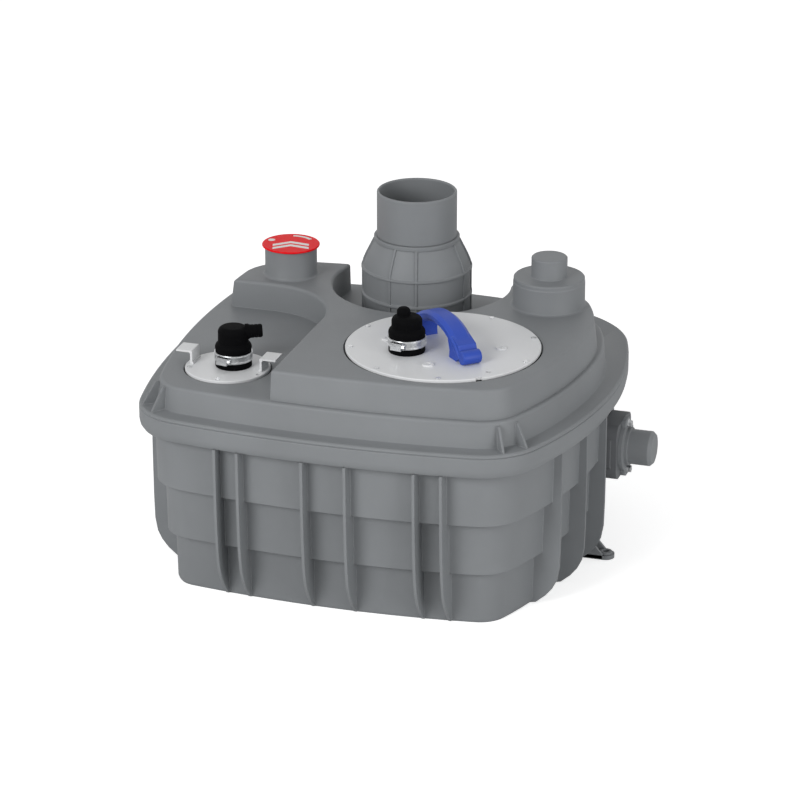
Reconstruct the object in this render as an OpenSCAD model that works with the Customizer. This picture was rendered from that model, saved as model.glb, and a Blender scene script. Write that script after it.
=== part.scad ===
// Sewage lifting station: a ribbed tank base under a stepped cover, with a lift-out grinder pump,
// a level sensor, a ribbed inlet bell and a side discharge with a swing flap.
// Frame: +X right, +Y back, +Z up, origin at the centre of the flat tank bottom.

/* [Tank outline] */
// Width over the rim
rim_w = 632; // [624:2:640]
// Depth over the rim
rim_d = 604; // [598:2:610]
// Corner radius of the rim
rim_r = 90; // [84:2:96]
// Bow of the front and back rim
bow_f = 14; // [11:1:17]
// Bow of the two side rims
bow_s = 38; // [34:1:42]
// Height of the seam between base and cover
seam_z = 252; // [248:1:256]
// Height of the rim band below the seam
band_h = 31; // [28:1:34]
// Wall thickness of base and cover
wall = 4.5; // [4:0.25:5]
// Inset of the highest wall tier from the rim
tier_in = 27; // [24:1:30]
// Inward step from one wall tier to the next
tier_step = 12.5; // [10:0.5:14]

/* [Ribs and feet] */
// Thickness of the outer ribs and fins
rib_t = 4; // [3:0.5:5]
// Centre distance of the two floor bolts
foot_span = 604; // [598:2:610]
// Radius of the floor bolt holes
foot_hole_r = 4.5; // [3.5:0.5:5.5]
// Thickness of the foot pads
foot_t = 6; // [5:0.5:8]

/* [Cover] */
// Height of the lower deck above the seam
low_h = 41; // [38:1:44]
// Height of the upper deck above the lower deck
top_h = 40; // [38:1:44]
// Width of the flat flange ledge
ledge_w = 23; // [20:1:26]
// Radius of the round notch behind the pump
notch_r = 127; // [122:1:128]
// Radius of the scoop beside the vent block
scoop_r = 108; // [96:2:112]

/* [Ports] */
// Outer radius of the inlet pipe
inlet_r = 55; // [53:0.5:56]
// Height of the inlet pipe's mouth
inlet_top = 466; // [456:2:476]
// Outer radius of the inlet bell's ribs
bell_r = 76.5; // [75:0.5:78]
// Outer radius of the discharge stub
stub_r = 24; // [23:0.5:25]
// Height of the discharge axis
port_z = 151; // [149:1:153]
// Outer radius of the vent spigot
vent_r = 36; // [34:0.5:38]
// Outer radius of the lower spare spigot
spare_r1 = 49; // [46:0.5:51]
// Outer radius of the upper spare spigot
spare_r2 = 24.5; // [23:0.5:26]

/* [Pump] */
// Radius of the pump plate
plate_r = 129.5; // [128:0.5:130.5]
// Thickness of the pump plate
plate_t = 4; // [3.5:0.5:5]
// Outer radius of the motor can
can_r = 66; // [64:0.5:68]
// Radius of the rotor core
rotor_r = 34; // [32:0.5:35]
// Radius of the impeller
imp_r = 46; // [42:0.5:46.5]
// Number of impeller vanes
vanes = 6; // [4:1:8]
// Number of cutter slots
slots = 9; // [6:1:12]
// Height of the blue handle above the pump plate
handle_h = 45; // [42:1:48]

/* [Sensor] */
// Radius of the sensor plate
sens_r = 57; // [55:0.5:58]
// Outer radius of the dip tube
dip_r = 14; // [12:0.5:15]

/* [Clearances] */
// Gap around plates in their recesses
recess_gap = 2.5; // [2:0.25:3]
// Radial clearance of running fits
run_gap = 0.05; // [0.02:0.01:0.09]
// Gap between the faces of the lift-off coupling
face_gap = 0.3; // [0.2:0.05:0.5]
// Radial clearance of screws and pipes in their holes
hole_gap = 0.2; // [0.1:0.05:0.3]

/* [Hidden] */
$fn = 72;
n_flat = 5;
n_corner = 9;
GREY = [0.47, 0.49, 0.51];
DARK = [0.36, 0.38, 0.40];
WHITE = [0.86, 0.87, 0.88];
BLACK = [0.03, 0.03, 0.035];
BLUE = [0.06, 0.17, 0.55];
RED = [0.83, 0.04, 0.06];
STEEL = [0.72, 0.73, 0.75];
IRON = [0.22, 0.24, 0.26];
COPPER = [0.72, 0.38, 0.18];

band_z = seam_z - band_h;
tier_1 = band_z/3;
tier_2 = band_z*2/3;
in_1 = tier_in;
in_2 = tier_in + tier_step;
in_3 = tier_in + 2*tier_step;
draft = 1.5;
rim_t = wall + 1;

flange_z = seam_z + 5;
low_z = seam_z + low_h;
top_z = low_z + top_h;
wall_x = -79;
block_y = 54;
notch_x = 12;
notch_y = 120;
up_in = 33;

pump_x = 110;
pump_y = -113;
sens_x = -171;
sens_y = -173;
bell_x = 0;
bell_y = 122;
vent_x = -177;
vent_y = 104;
spare_x = 198;
spare_y = 90;
port_y = 62;
foot_y = 24;

open_r = plate_r - 11.5;
seat_z = top_z - 3;
gasket_t = 2;
plate_z = seat_z + gasket_t;
plate_top = plate_z + plate_t;
sens_open_r = 45;
sens_seat = low_z - 2.5;
sens_gasket_t = 1.5;
sens_z = sens_seat + sens_gasket_t;
sens_t = 4;
sens_top = sens_z + sens_t;
plate_screw_r = plate_r - 6.5;
plate_screw_a = [-160, -118, -76, -12, 30, 75, 118, 162];
sens_screw_a = [-158, -86, 38, 98];
screw_r = 2;
motor_screw_a = [181, 272, 8, 95];
motor_pcd_r = 77;

pad_x = 289;
house_x = pad_x + 2;
house_t = 23;
stub_x = house_x + house_t;
stub_plate_t = 6;
stub_end = 357;
stub_bore = stub_r - 3;
flap_h = 22;
flap_x = house_x + 7;
flap_r = 17;
chamber_r = 28;
lug_z = 33;
pipe_r = 21;
pipe_bore = 17;
bend_r = 32;
couple_x = pump_x + 96;
couple_r = 30;

can_z = port_z + 27;
head_z = top_z - 11;
head_r = 90;
vol_z = port_z - 93;
vol_top = port_z - 53;
vol_r = 62;
cham_r = imp_r + 3;
riser_x = couple_x - bend_r - 1;
riser_r = 19;
riser_bore = 13;
riser_z = port_z - bend_r;
shaft_r = 9;
bore_r = 17.5;
cut_z = vol_z - 6;
cut_bore = 22;
vane_x = 24;
vane_y = -26;
vane_r = 34;
// The vanes are arcs that run from inside the hub to just inside the impeller's edge
vane_c = norm([vane_x, vane_y]);
vane_a1 = acos((pow(imp_r - 2.5, 2) - vane_c*vane_c - vane_r*vane_r)/(2*vane_r*vane_c)) + atan2(vane_y, vane_x);

vent_top = top_z + 41;
spare_z1 = top_z + 41;
spare_z2 = spare_z1 + 28;
bell_base = low_z;
bell_h = inlet_top - bell_base;
ring_3 = bell_base + 0.16*bell_h;
ring_2 = bell_base + 0.375*bell_h;
ring_1 = bell_base + 0.61*bell_h;
socket_r = inlet_r - 1.5;

rib_xs = [-149, -116.5, -26, 33, 125, 161];
fin_ys = [-152, -78, 3];
fin_ys_back = [112, 164];
rib_prof = [[6, band_z+3], [7.5, 154], [11, 114], [14.5, 92], [19, 72], [25.5, 54], [33, 38], [45, 20], [56, 5], [60, 0]];
fin_prof = [[12, band_z+3], [13, 177], [15, 134], [18, 92], [22, 72], [29, 56], [41, 41], [54, 28], [60, 20]];

// Rim arcs: the front and side arcs meet the corner arcs tangentially, so every inset is a true offset
cx = rim_w/2 - rim_r - bow_s;
cy = rim_d/2 - rim_r - bow_f;
rf = (cx*cx + bow_f*bow_f)/(2*bow_f);
rs = (cy*cy + bow_s*bow_s)/(2*bow_s);
af = asin(cx/rf);
as = asin(cy/rs);
fy = rf - (rim_d/2 - rim_r);
sx = (rim_w/2 - rim_r) - rs;
function rim_front(x) = fy - sqrt(pow(rf + rim_r, 2) - x*x);
function rim_side(y) = sx + sqrt(pow(rs + rim_r, 2) - y*y);

function quarter(r) = concat(
    [for (k = [0:n_flat]) let (t = af*k/n_flat) [(rf + r)*sin(t), fy - (rf + r)*cos(t)]],
    [for (k = [1:n_corner]) let (t = af + (90 - as - af)*k/n_corner) [cx + r*sin(t), -cy - r*cos(t)]],
    [for (k = [1:n_flat]) let (t = -as + as*k/n_flat) [sx + (rs + r)*cos(t), (rs + r)*sin(t)]]);
function outline(inset) = let (q = quarter(rim_r - inset), m = len(q) - 1) concat(
    q,
    [for (k = [m-1:-1:0]) [q[k][0], -q[k][1]]],
    [for (k = [1:m]) [-q[k][0], -q[k][1]]],
    [for (k = [m-1:-1:1]) [-q[k][0], q[k][1]]]);

// Drafted shell body through rings given as [height, inset]
module loft(rings) {
    n = len(outline(0));
    pts = [for (r = rings) for (p = outline(r[1])) [p[0], p[1], r[0]]];
    top = (len(rings) - 1)*n;
    sides = [for (k = [0:len(rings)-2]) for (i = [0:n-1]) let (j = (i + 1) % n)
        [k*n + i, (k+1)*n + i, (k+1)*n + j, k*n + j]];
    polyhedron(points = pts, convexity = 6, faces = concat(
        [[for (i = [0:n-1]) i]], sides, [[for (i = [n-1:-1:0]) top + i]]));
}

module rounded(a, b, r) {
    square([a, b - 2*r], center = true);
    square([a - 2*r, b], center = true);
    for (sa = [-1, 1]) for (sb = [-1, 1]) translate([sa*(a/2 - r), sb*(b/2 - r)]) circle(r, $fn = 32);
}
// Drawing plane YZ, thickness along +X
module along_x(x, t) { translate([x, 0, 0]) rotate([90, 0, 90]) linear_extrude(t) children(); }
module x_cyl(x, t, r, y = 0, z = 0) { translate([x, y, z]) rotate([0, 90, 0]) cylinder(r = r, h = t); }
module ring(z, h, r1, r0) {
    translate([0, 0, z]) difference() {
        cylinder(r = r1, h = h);
        translate([0, 0, -1]) cylinder(r = r0, h = h + 2);
    }
}
module spun(pts) { rotate_extrude(convexity = 6) polygon(pts); }
module screw_at(z, len, r, head_r, head_h) {
    translate([0, 0, z - len]) cylinder(r = r, h = len + 0.5, $fn = 24);
    translate([0, 0, z]) cylinder(r = head_r, h = head_h, $fn = 24);
}

/* Tank base */
base_outer = [[0, in_3 + draft + 5], [2, in_3 + draft + 2], [6, in_3 + draft], [tier_1 - 1, in_3],
    [tier_1 + 1, in_2 + draft], [tier_2 - 1, in_2], [tier_2 + 1, in_1 + draft], [band_z, in_1],
    [band_z + 0.6, 12], [band_z + 3, 4.5], [band_z + 8, 1.2], [band_z + 14, 0], [seam_z - 1.2, 0], [seam_z, 1.2]];
base_inner = [[wall + 0.5, in_3 + draft + wall + 3], [wall + 4.5, in_3 + draft + wall], [tier_1 - 3, in_3 + wall],
    [tier_1 + wall + 1, in_2 + draft + wall], [tier_2 - 3, in_2 + wall], [tier_2 + wall + 1, in_1 + draft + wall],
    [band_z + wall + 1, in_1 + wall], [band_z + wall + 8, rim_t + 1], [seam_z + 1, rim_t]];

module outer_ribs() {
    for (s = [0, 1]) mirror([0, s, 0]) for (x = rib_xs)
        along_x(x - rib_t/2, rib_t) polygon(concat(
            [for (p = rib_prof) [rim_front(x) + p[0], p[1]]],
            [[rim_front(x) + 64, 0], [rim_front(x) + 64, band_z + 3]]));
}
module side_fin(y) {
    translate([0, y + rib_t/2, 0]) rotate([90, 0, 0]) linear_extrude(rib_t) polygon(concat(
        [for (p = fin_prof) [rim_side(y) - p[0], p[1]]],
        [[rim_side(y) - 64, 20], [rim_side(y) - 64, band_z + 3]]));
}
module foot() {
    fx = foot_span/2;
    difference() {
        union() {
            translate([fx, foot_y, 0]) cylinder(r = 12, h = foot_t);
            translate([fx, foot_y, 0]) cylinder(r = 8.5, h = foot_t + 3);
            translate([fx - 46, foot_y - 12, 0]) cube([46, 24, foot_t]);
            for (dy = [-12, 8]) translate([0, foot_y + dy + 4, 0]) rotate([90, 0, 0]) linear_extrude(4)
                polygon([[fx - 48, 1], [fx - 2, 1], [fx - 2, foot_t + 1], [fx - 22, 30], [fx - 34, 40], [fx - 48, 44]]);
        }
        translate([fx, foot_y, -1]) cylinder(r = foot_hole_r, h = foot_t + 6);
    }
}
module tank_base() {
    color(GREY) difference() {
        union() {
            loft(base_outer);
            outer_ribs();
            for (s = [0, 1]) mirror([s, 0, 0]) { for (y = fin_ys) side_fin(y); foot(); }
            for (y = fin_ys_back) side_fin(y);
            mirror([1, 0, 0]) { side_fin(78); side_fin(152); }
            along_x(pad_x - 34, 34) translate([port_y, port_z]) rounded(86, 86, 12);
        }
        loft(base_inner);
        x_cyl(pad_x - 60, 80, pipe_r + hole_gap, port_y, port_z);
        for (sz = [-1, 1]) x_cyl(pad_x - 7, 20, 2.6, port_y, port_z + sz*lug_z);
    }
}

/* Tank cover */
module recess(g) {
    translate([-400, -400, low_z]) cube([400 + wall_x + g, 400 + block_y - scoop_r, 80]);
    translate([wall_x - scoop_r, block_y - scoop_r, low_z]) cylinder(r = scoop_r + g, h = 80, $fn = 96);
    translate([-400, -60, low_z]) cube([400 + wall_x - scoop_r, 60 + block_y + g, 80]);
}
module notch(g) {
    translate([notch_x, notch_y, low_z]) cylinder(r = notch_r + g, h = 80, $fn = 96);
    translate([notch_x - notch_r + 4 - g, notch_y, low_z]) cube([2*notch_r - 7 + 2*g, 300, 80]);
}
// Rounded-over edges along the recess and the notch, cut as bevels
module edge_bevels() {
    b = 3;
    translate([wall_x, (block_y - scoop_r)/2 - 200, top_z]) rotate([0, 45, 0]) cube([b*1.42, 400 + block_y - scoop_r, b*1.42], center = true);
    translate([wall_x - scoop_r - 200, block_y, top_z]) rotate([45, 0, 0]) cube([400, b*1.42, b*1.42], center = true);
    translate([wall_x - scoop_r, block_y - scoop_r, top_z - b]) cylinder(r1 = scoop_r, r2 = scoop_r + b + 0.01, h = b + 0.01, $fn = 96);
    translate([notch_x, notch_y, top_z - b]) cylinder(r1 = notch_r, r2 = notch_r + b + 0.01, h = b + 0.01, $fn = 96);
}
module corner_webs() {
    for (s = [0, 1]) for (u = [0, 1]) mirror([s, 0, 0]) mirror([0, u, 0])
        for (a = [36, 60]) translate([cx, -cy, 0]) rotate([0, 0, a]) rotate([90, 0, -90])
            translate([0, 0, -1.6]) linear_extrude(3.2)
                polygon([[rim_r - 40, flange_z - 1], [rim_r - 4, flange_z - 1], [rim_r - 4, flange_z + 1],
                    [rim_r - ledge_w + 1, low_z - 5], [rim_r - 40, low_z - 5]]);
}
cover_low = [[seam_z, 1.2], [seam_z + 1.2, 0], [seam_z + 3.6, 0.4], [flange_z, 2.6], [flange_z, ledge_w],
    [low_z - 6, ledge_w + 2], [low_z - 1.8, ledge_w + 3.6], [low_z, ledge_w + 8]];
cover_up = [[low_z - 1, up_in], [top_z - 6, up_in + 5], [top_z - 1.8, up_in + 6.8], [top_z, up_in + 10.5]];
void_low = [[seam_z - 1, ledge_w + wall], [low_z - 6, ledge_w + 2 + wall], [low_z - wall, ledge_w + 4 + wall]];
void_up = [[low_z - wall - 1, up_in + wall], [top_z - 6, up_in + 5 + wall], [top_z - wall, up_in + 7 + wall]];

module cover_shell() {
    difference() {
        union() {
            loft(cover_low);
            difference() { loft(cover_up); recess(0); notch(0); edge_bevels(); }
            corner_webs();
            difference() { loft([[seam_z - 6, rim_t + 0.5], [seam_z + 1, rim_t + 0.5]]); loft([[seam_z - 7, rim_t + 4], [seam_z + 2, rim_t + 4]]); }
        }
        loft(void_low);
        difference() {
            loft(void_up);
            translate([0, 0, -wall]) recess(wall);
            translate([0, 0, -wall]) notch(wall);
        }
    }
}
module tank_cover() {
    color(GREY) difference() {
        union() {
            cover_shell();
            translate([pump_x, pump_y, top_z - 13]) cylinder(r = plate_r + 8, h = 11);
            translate([sens_x, sens_y, low_z - 10]) cylinder(r = sens_r + 6, h = 8);
            translate([vent_x, vent_y, top_z - 1]) cylinder(r = vent_r, h = vent_top - top_z + 1);
            translate([vent_x, vent_y, top_z - 0.5]) cylinder(r1 = vent_r + 3, r2 = vent_r, h = 3.5);
            translate([spare_x, spare_y, 0]) spun([[0, top_z - 1], [spare_r1 + 3, top_z - 1], [spare_r1 + 3, top_z],
                [spare_r1, top_z + 3], [spare_r1, spare_z1 - 6.5], [spare_r1 - 0.6, spare_z1 - 6], [spare_r1 - 0.6, spare_z1 - 1.5],
                [spare_r1 - 2, spare_z1], [spare_r2 + 2, spare_z1], [spare_r2, spare_z1 + 2], [spare_r2, spare_z2 - 1.5],
                [spare_r2 - 1.5, spare_z2], [0, spare_z2]]);
            translate([bell_x, bell_y, 0]) ring(low_z - wall - 6, wall + 18, 62, 57);
        }
        translate([pump_x, pump_y, 0]) {
            translate([0, 0, top_z - 20]) cylinder(r = open_r, h = 40);
            translate([0, 0, seat_z]) cylinder(r = plate_r + recess_gap, h = 20);
            for (a = plate_screw_a) rotate([0, 0, a]) translate([plate_screw_r, 0, seat_z - 8.5]) cylinder(r = screw_r + hole_gap, h = 20, $fn = 24);
        }
        translate([sens_x, sens_y, 0]) {
            translate([0, 0, low_z - 20]) cylinder(r = sens_open_r, h = 30);
            translate([0, 0, sens_seat]) cylinder(r = sens_r + 2, h = 20);
            for (a = sens_screw_a) rotate([0, 0, a]) translate([sens_r - 6, 0, sens_seat - 6.5]) cylinder(r = screw_r + hole_gap, h = 20, $fn = 24);
        }
        translate([vent_x, vent_y, top_z - 20]) cylinder(r = vent_r - 3.5, h = 80);
        translate([spare_x, spare_y, 0]) spun([[0, top_z - 20], [spare_r1 - 3.5, top_z - 20], [spare_r1 - 3.5, spare_z1 - 3.5],
            [spare_r2 - 3, spare_z1 - 3.5], [spare_r2 - 3, spare_z2 - 3], [0, spare_z2 - 3]]);
        translate([bell_x, bell_y, low_z - 20]) cylinder(r = 57, h = 60);
    }
}

/* Inlet */
module inlet_bell() {
    R = bell_r;
    color(GREY) translate([bell_x, bell_y, 0]) difference() {
        union() {
            spun([[0, bell_base], [R - 4, bell_base], [R - 4, bell_base + 2], [R - 3, bell_base + 4], [R - 3, ring_3 - 3],
                [R, ring_3 - 1.5], [R, ring_3 + 1.5], [R - 2.4, ring_3 + 2.5], [R - 2.4, ring_2 - 2.5],
                [R, ring_2 - 1.5], [R, ring_2 + 1], [R - 2.4, ring_2 + 2], [R - 4.5, ring_2 + 9], [R - 8.5, ring_2 + 18],
                [inlet_r + 3, ring_1 - 2.5], [inlet_r + 4, ring_1 - 1.5], [inlet_r + 4, ring_1 + 3], [inlet_r + 3, ring_1 + 4], [0, ring_1 + 4]]);
            for (k = [0:3]) for (a = [-73.5, -102.5]) rotate([0, 0, a + 90*k]) translate([0, 1.4, 0]) rotate([90, 0, 0])
                linear_extrude(2.8) polygon([[inlet_r + 1, bell_base + 1], [R - 0.7, bell_base + 1], [R - 0.7, ring_2 + 1],
                    [R - 2.6, ring_2 + 9.5], [R - 6.4, ring_2 + 18.5], [inlet_r + 4.6, ring_1 - 1], [inlet_r + 1, ring_1 - 1]]);
        }
        spun([[0, bell_base - 1], [62 + hole_gap, bell_base - 1], [62 + hole_gap, bell_base + 12.3], [R - 13, bell_base + 15],
            [R - 7, ring_3 + 2], [R - 7, ring_2 - 1], [inlet_r - 3.5, ring_1 - 14], [inlet_r - 3.5, ring_1 - 10],
            [socket_r + hole_gap, ring_1 - 10], [socket_r + hole_gap, ring_1 + 10], [0, ring_1 + 10]]);
    }
}
module inlet_pipe() {
    color(GREY) translate([bell_x, bell_y, 0]) spun([[inlet_r - 3.8, ring_1 - 10], [socket_r, ring_1 - 10],
        [socket_r, ring_1 + 4 + face_gap], [inlet_r, ring_1 + 4 + face_gap], [inlet_r, inlet_top - 1.5],
        [inlet_r - 1.2, inlet_top], [inlet_r - 2.8, inlet_top], [inlet_r - 3.8, inlet_top - 1.5]]);
}
module vent_cap() {
    color(RED) translate([vent_x, vent_y, 0]) spun([[0, vent_top], [vent_r - 6, vent_top], [vent_r - 6, vent_top - 7],
        [vent_r - 3.7, vent_top - 7], [vent_r - 3.7, vent_top], [vent_r + 3.6, vent_top], [vent_r + 4, vent_top + 0.6],
        [vent_r + 4, vent_top + 1.8], [vent_r + 3.4, vent_top + 2.5], [0, vent_top + 2.5]]);
}

/* Discharge */
module port_gasket() {
    color(BLACK) difference() {
        along_x(pad_x, 2) translate([port_y, port_z]) rounded(76, 76, 13);
        x_cyl(pad_x - 1, 4, pipe_bore, port_y, port_z);
        for (sz = [-1, 1]) x_cyl(pad_x - 7, 20, 3.2, port_y, port_z + sz*lug_z);
    }
}
module valve_housing() {
    color(DARK) difference() {
        union() {
            along_x(house_x, house_t) translate([port_y, port_z]) rounded(78, 78, 14);
            along_x(house_x, house_t - 8) translate([port_y, port_z]) rounded(84, 46, 8);
        }
        x_cyl(house_x - 1, 10, 15, port_y, port_z);
        x_cyl(house_x + 3, 40, chamber_r, port_y, port_z);
        translate([flap_x, port_y + 22, port_z + flap_h]) rotate([90, 0, 0]) cylinder(r = 1.5 + hole_gap, h = 44, $fn = 24);
        for (sz = [-1, 1]) x_cyl(house_x - 1, 40, 3 + hole_gap, port_y, port_z + sz*lug_z);
    }
}
module flap_rubber() {
    color(BLACK) x_cyl(house_x + 3.05, 1.45, flap_r + 0.5, port_y, port_z);
}
module flap() {
    color(DARK) difference() {
        union() {
            x_cyl(house_x + 4.5, 2.5, flap_r, port_y, port_z);
            x_cyl(house_x + 4.5, 4, 6, port_y, port_z);
            translate([house_x + 4.5, port_y - 9, port_z + 12]) cube([2.5, 18, 8]);
            translate([flap_x, port_y + 10.5, port_z + flap_h]) rotate([90, 0, 0]) cylinder(r = 3.2, h = 21);
        }
        translate([flap_x, port_y + 22, port_z + flap_h]) rotate([90, 0, 0]) cylinder(r = 1.5 + run_gap, h = 44);
    }
}
module flap_pin() {
    color(STEEL) translate([flap_x, port_y + 20.5, port_z + flap_h]) rotate([90, 0, 0]) cylinder(r = 1.5, h = 41);
}
module discharge_stub() {
    color(GREY) difference() {
        union() {
            along_x(stub_x, stub_plate_t) translate([port_y, port_z]) { circle(34); rounded(28, 2*lug_z + 16, 8); }
            x_cyl(stub_x + stub_plate_t - 1, 6, min(stub_r + 2, lug_z - 6.5), port_y, port_z);
            translate([stub_x, port_y, port_z]) rotate([0, 90, 0]) spun([[0, 0], [stub_r, 0], [stub_r, stub_end - stub_x - 4],
                [stub_r - 3.5, stub_end - stub_x], [0, stub_end - stub_x]]);
        }
        x_cyl(stub_x - 1, stub_end - stub_x - 2.5, stub_bore, port_y, port_z);
        for (sz = [-1, 1]) x_cyl(stub_x - 1, 30, 3 + hole_gap, port_y, port_z + sz*lug_z);
    }
}
module housing_screws() {
    color(STEEL) for (sz = [-1, 1]) {
        x_cyl(pad_x - 5, stub_x + stub_plate_t - pad_x + 5.5, 2.5, port_y, port_z + sz*lug_z);
        x_cyl(stub_x + stub_plate_t, 1.2, 6.3, port_y, port_z + sz*lug_z);
        translate([stub_x + stub_plate_t + 1, port_y, port_z + sz*lug_z]) rotate([0, 90, 0]) cylinder(r = 5.2, h = 4.5, $fn = 6);
    }
}
module bend(r, a0) {
    translate([0, 0, 0]) rotate([0, 0, a0]) rotate_extrude(angle = 90, convexity = 4) translate([bend_r, 0]) circle(r, $fn = 48);
}
module inner_path(r, e) {
    bx = couple_x + bend_r;
    x_cyl(couple_x - e, e + 5, r, pump_y, port_z);
    translate([couple_x + 5, pump_y + bend_r, port_z]) bend(r, -90);
    translate([bx + 5, pump_y + bend_r, port_z]) rotate([-90, 0, 0]) cylinder(r = r, h = port_y - pump_y - 2*bend_r, $fn = 48);
    translate([bx + bend_r + 5, port_y - bend_r, port_z]) bend(r, 90);
    x_cyl(bx + bend_r + 5, pad_x - bx - bend_r - 5 + e, r, port_y, port_z);
}
module inner_pipe() {
    color(GREY) difference() {
        union() {
            inner_path(pipe_r, 0);
            x_cyl(couple_x, 5, couple_r, pump_y, port_z);
        }
        inner_path(pipe_bore, 2);
    }
}

/* Pump head */
module plate_gasket() {
    color(BLACK) translate([pump_x, pump_y, 0]) difference() {
        ring(seat_z, gasket_t, plate_r + 1, open_r);
        for (a = plate_screw_a) rotate([0, 0, a]) translate([plate_screw_r, 0, seat_z - 1]) cylinder(r = screw_r + hole_gap, h = 5, $fn = 24);
    }
}
boot_x = -40;
boot_y = -33;
handle_a = -46;
handle_leg = 49;
module pump_plate() {
    color(WHITE) translate([pump_x, pump_y, 0]) difference() {
        union() {
            spun([[0, plate_z], [plate_r, plate_z], [plate_r, plate_top - 1], [plate_r - 1, plate_top], [0, plate_top]]);
            translate([boot_x, boot_y, plate_z]) cylinder(r = 19, h = 30);
        }
        translate([boot_x, boot_y, plate_z - 1]) cylinder(r = 14.5, h = 40);
        for (a = plate_screw_a) rotate([0, 0, a]) translate([plate_screw_r, 0, plate_z - 1]) cylinder(r = screw_r + hole_gap, h = 10, $fn = 24);
        for (a = motor_screw_a) rotate([0, 0, a]) translate([motor_pcd_r, 0, plate_z - 1]) cylinder(r = 3 + hole_gap, h = 10, $fn = 24);
        rotate([0, 0, handle_a]) for (s = [-1, 1]) translate([s*handle_leg, 0, plate_z - 1]) cylinder(r = 3 + hole_gap, h = 10, $fn = 24);
        translate([85, -76, plate_z - 1]) cylinder(r = 3.6, h = 10, $fn = 32);
        rotate([0, 0, -52]) translate([plate_r - 3.5, -4.5, plate_z - 1]) cube([8, 9, 10]);
    }
}
module plate_screws() {
    color(STEEL) translate([pump_x, pump_y, 0]) for (a = plate_screw_a) rotate([0, 0, a]) translate([plate_screw_r, 0, 0])
        screw_at(plate_top, plate_t + gasket_t + 7.5, screw_r, 3.6, 1.2);
}
module motor_screws() {
    color(WHITE) translate([pump_x, pump_y, 0]) for (a = motor_screw_a) rotate([0, 0, a]) translate([motor_pcd_r, 0, 0]) difference() {
        screw_at(plate_top, plate_t + 8, 3, 7.5, 2.4);
        translate([0, 0, plate_top + 1]) cylinder(r = 3.4, h = 3, $fn = 6);
    }
}
module handle() {
    R = (handle_h*handle_h + 86*86)/(2*handle_h);
    a = acos((R - handle_h + 1.5)/(R - 13));
    color(BLUE) translate([pump_x, pump_y, plate_top]) rotate([0, 0, handle_a]) difference() {
        union() {
            translate([0, 0, handle_h - R]) rotate([90, 0, 0]) rotate([0, 0, 90 - a]) rotate_extrude(angle = 2*a, $fn = 180)
                polygon([[R - 13, -10], [R - 9, -14], [R - 4, -14], [R, -8], [R, 8], [R - 4, 14], [R - 9, 14], [R - 13, 10]]);
            for (s = [0, 1]) mirror([s, 0, 0]) {
                translate([0, 12, 0]) rotate([90, 0, 0]) linear_extrude(24)
                    polygon([[36, 22], [41, 9], [40, 0], [58, 0], [60, 6], [70, 12], [66, 22], [50, 29]]);
                translate([81.5, 12, 7]) rotate([90, 0, 0]) cylinder(r = 6.8, h = 24, $fn = 48);
            }
        }
        for (s = [-1, 1]) translate([s*handle_leg, 0, -1]) cylinder(r = 3 + hole_gap, h = 17, $fn = 24);
        for (s = [-1, 1]) translate([-26, s*14 - (s > 0 ? 2.2 : -0.2), handle_h - 8]) cube([52, 2, 2.5]);
    }
}
module handle_bolts() {
    color(STEEL) translate([pump_x, pump_y, 0]) rotate([0, 0, handle_a]) for (s = [-1, 1]) translate([s*handle_leg, 0, 0]) {
        translate([0, 0, plate_z - 0.3]) cylinder(r = 3, h = plate_t + 14, $fn = 24);
        translate([0, 0, plate_z - 4.5]) cylinder(r = 6, h = 4.5, $fn = 6);
    }
}
module boot_body(z) {
    spun([[19.1, z], [24, z], [24.5, z + 0.8], [24.5, z + 8], [24, z + 9], [24, z + 21], [24.5, z + 22], [24.5, z + 28],
        [23, z + 33], [20.8, z + 36], [20.8, z + 40], [20.2, z + 41], [20.8, z + 42], [20.8, z + 46], [20.2, z + 47], [20.8, z + 48],
        [20.8, z + 53], [19.5, z + 57], [16, z + 60.5], [9, z + 62], [0, z + 62], [0, z + 59], [8, z + 59], [15, z + 57], [18, z + 53],
        [18, z + 34], [19.1, z + 30]]);
}
module cable_boot() {
    color(BLACK) translate([pump_x + boot_x, pump_y + boot_y, 0]) {
        boot_body(plate_top);
        translate([-5, 3, plate_top + 56]) rotate([0, -12, 0]) rotate([0, 0, 0])
            spun([[0, 0], [11, 0], [9, 6], [8.5, 7], [9, 8], [8.5, 9.5], [8.5, 12], [7, 13.5], [4, 13.5], [4, 6], [0, 6]]);
    }
}
module band(z) {
    spun([[24, z], [25.2, z], [25.2, z + 1], [25.7, z + 1.4], [25.7, z + 1.8], [25.2, z + 2.2], [25.2, z + 9.2],
        [25.7, z + 9.6], [25.7, z + 10], [25.2, z + 10.4], [25.2, z + 11.4], [24, z + 11.4]]);
}
module clamp_at(z) {
    difference() {
        union() {
            band(z);
            rotate([0, 0, -100]) translate([24.5, -8, z + 0.7]) cube([8.4, 16, 10]);
        }
        rotate([0, 0, -100]) translate([29, -9, z + 5.7]) rotate([-90, 0, 0]) cylinder(r = 2.6, h = 18, $fn = 24);
        for (k = [0:9]) rotate([0, 0, -62 + k*4]) translate([24.6, -0.35, z + 3]) cube([3, 0.7, 5.4]);
    }
}
module clamp_screw_at(z) {
    rotate([0, 0, -100]) translate([29, 0, z + 5.7]) rotate([-90, 0, 0]) {
        translate([0, 0, -7.5]) cylinder(r = 2.4, h = 15, $fn = 24);
        translate([0, 0, 8]) difference() {
            cylinder(r = 3.6, h = 4, $fn = 6);
            translate([-3, -0.5, 2.8]) cube([6, 1, 2]);
        }
        translate([0, 0, 7]) cylinder(r = 2.4, h = 1.5, $fn = 24);
    }
}
module boot_clamp() { color(STEEL) translate([pump_x + boot_x, pump_y + boot_y, 0]) clamp_at(plate_top + 9.3); }
module clamp_screw() { color(STEEL) translate([pump_x + boot_x, pump_y + boot_y, 0]) clamp_screw_at(plate_top + 9.3); }

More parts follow.
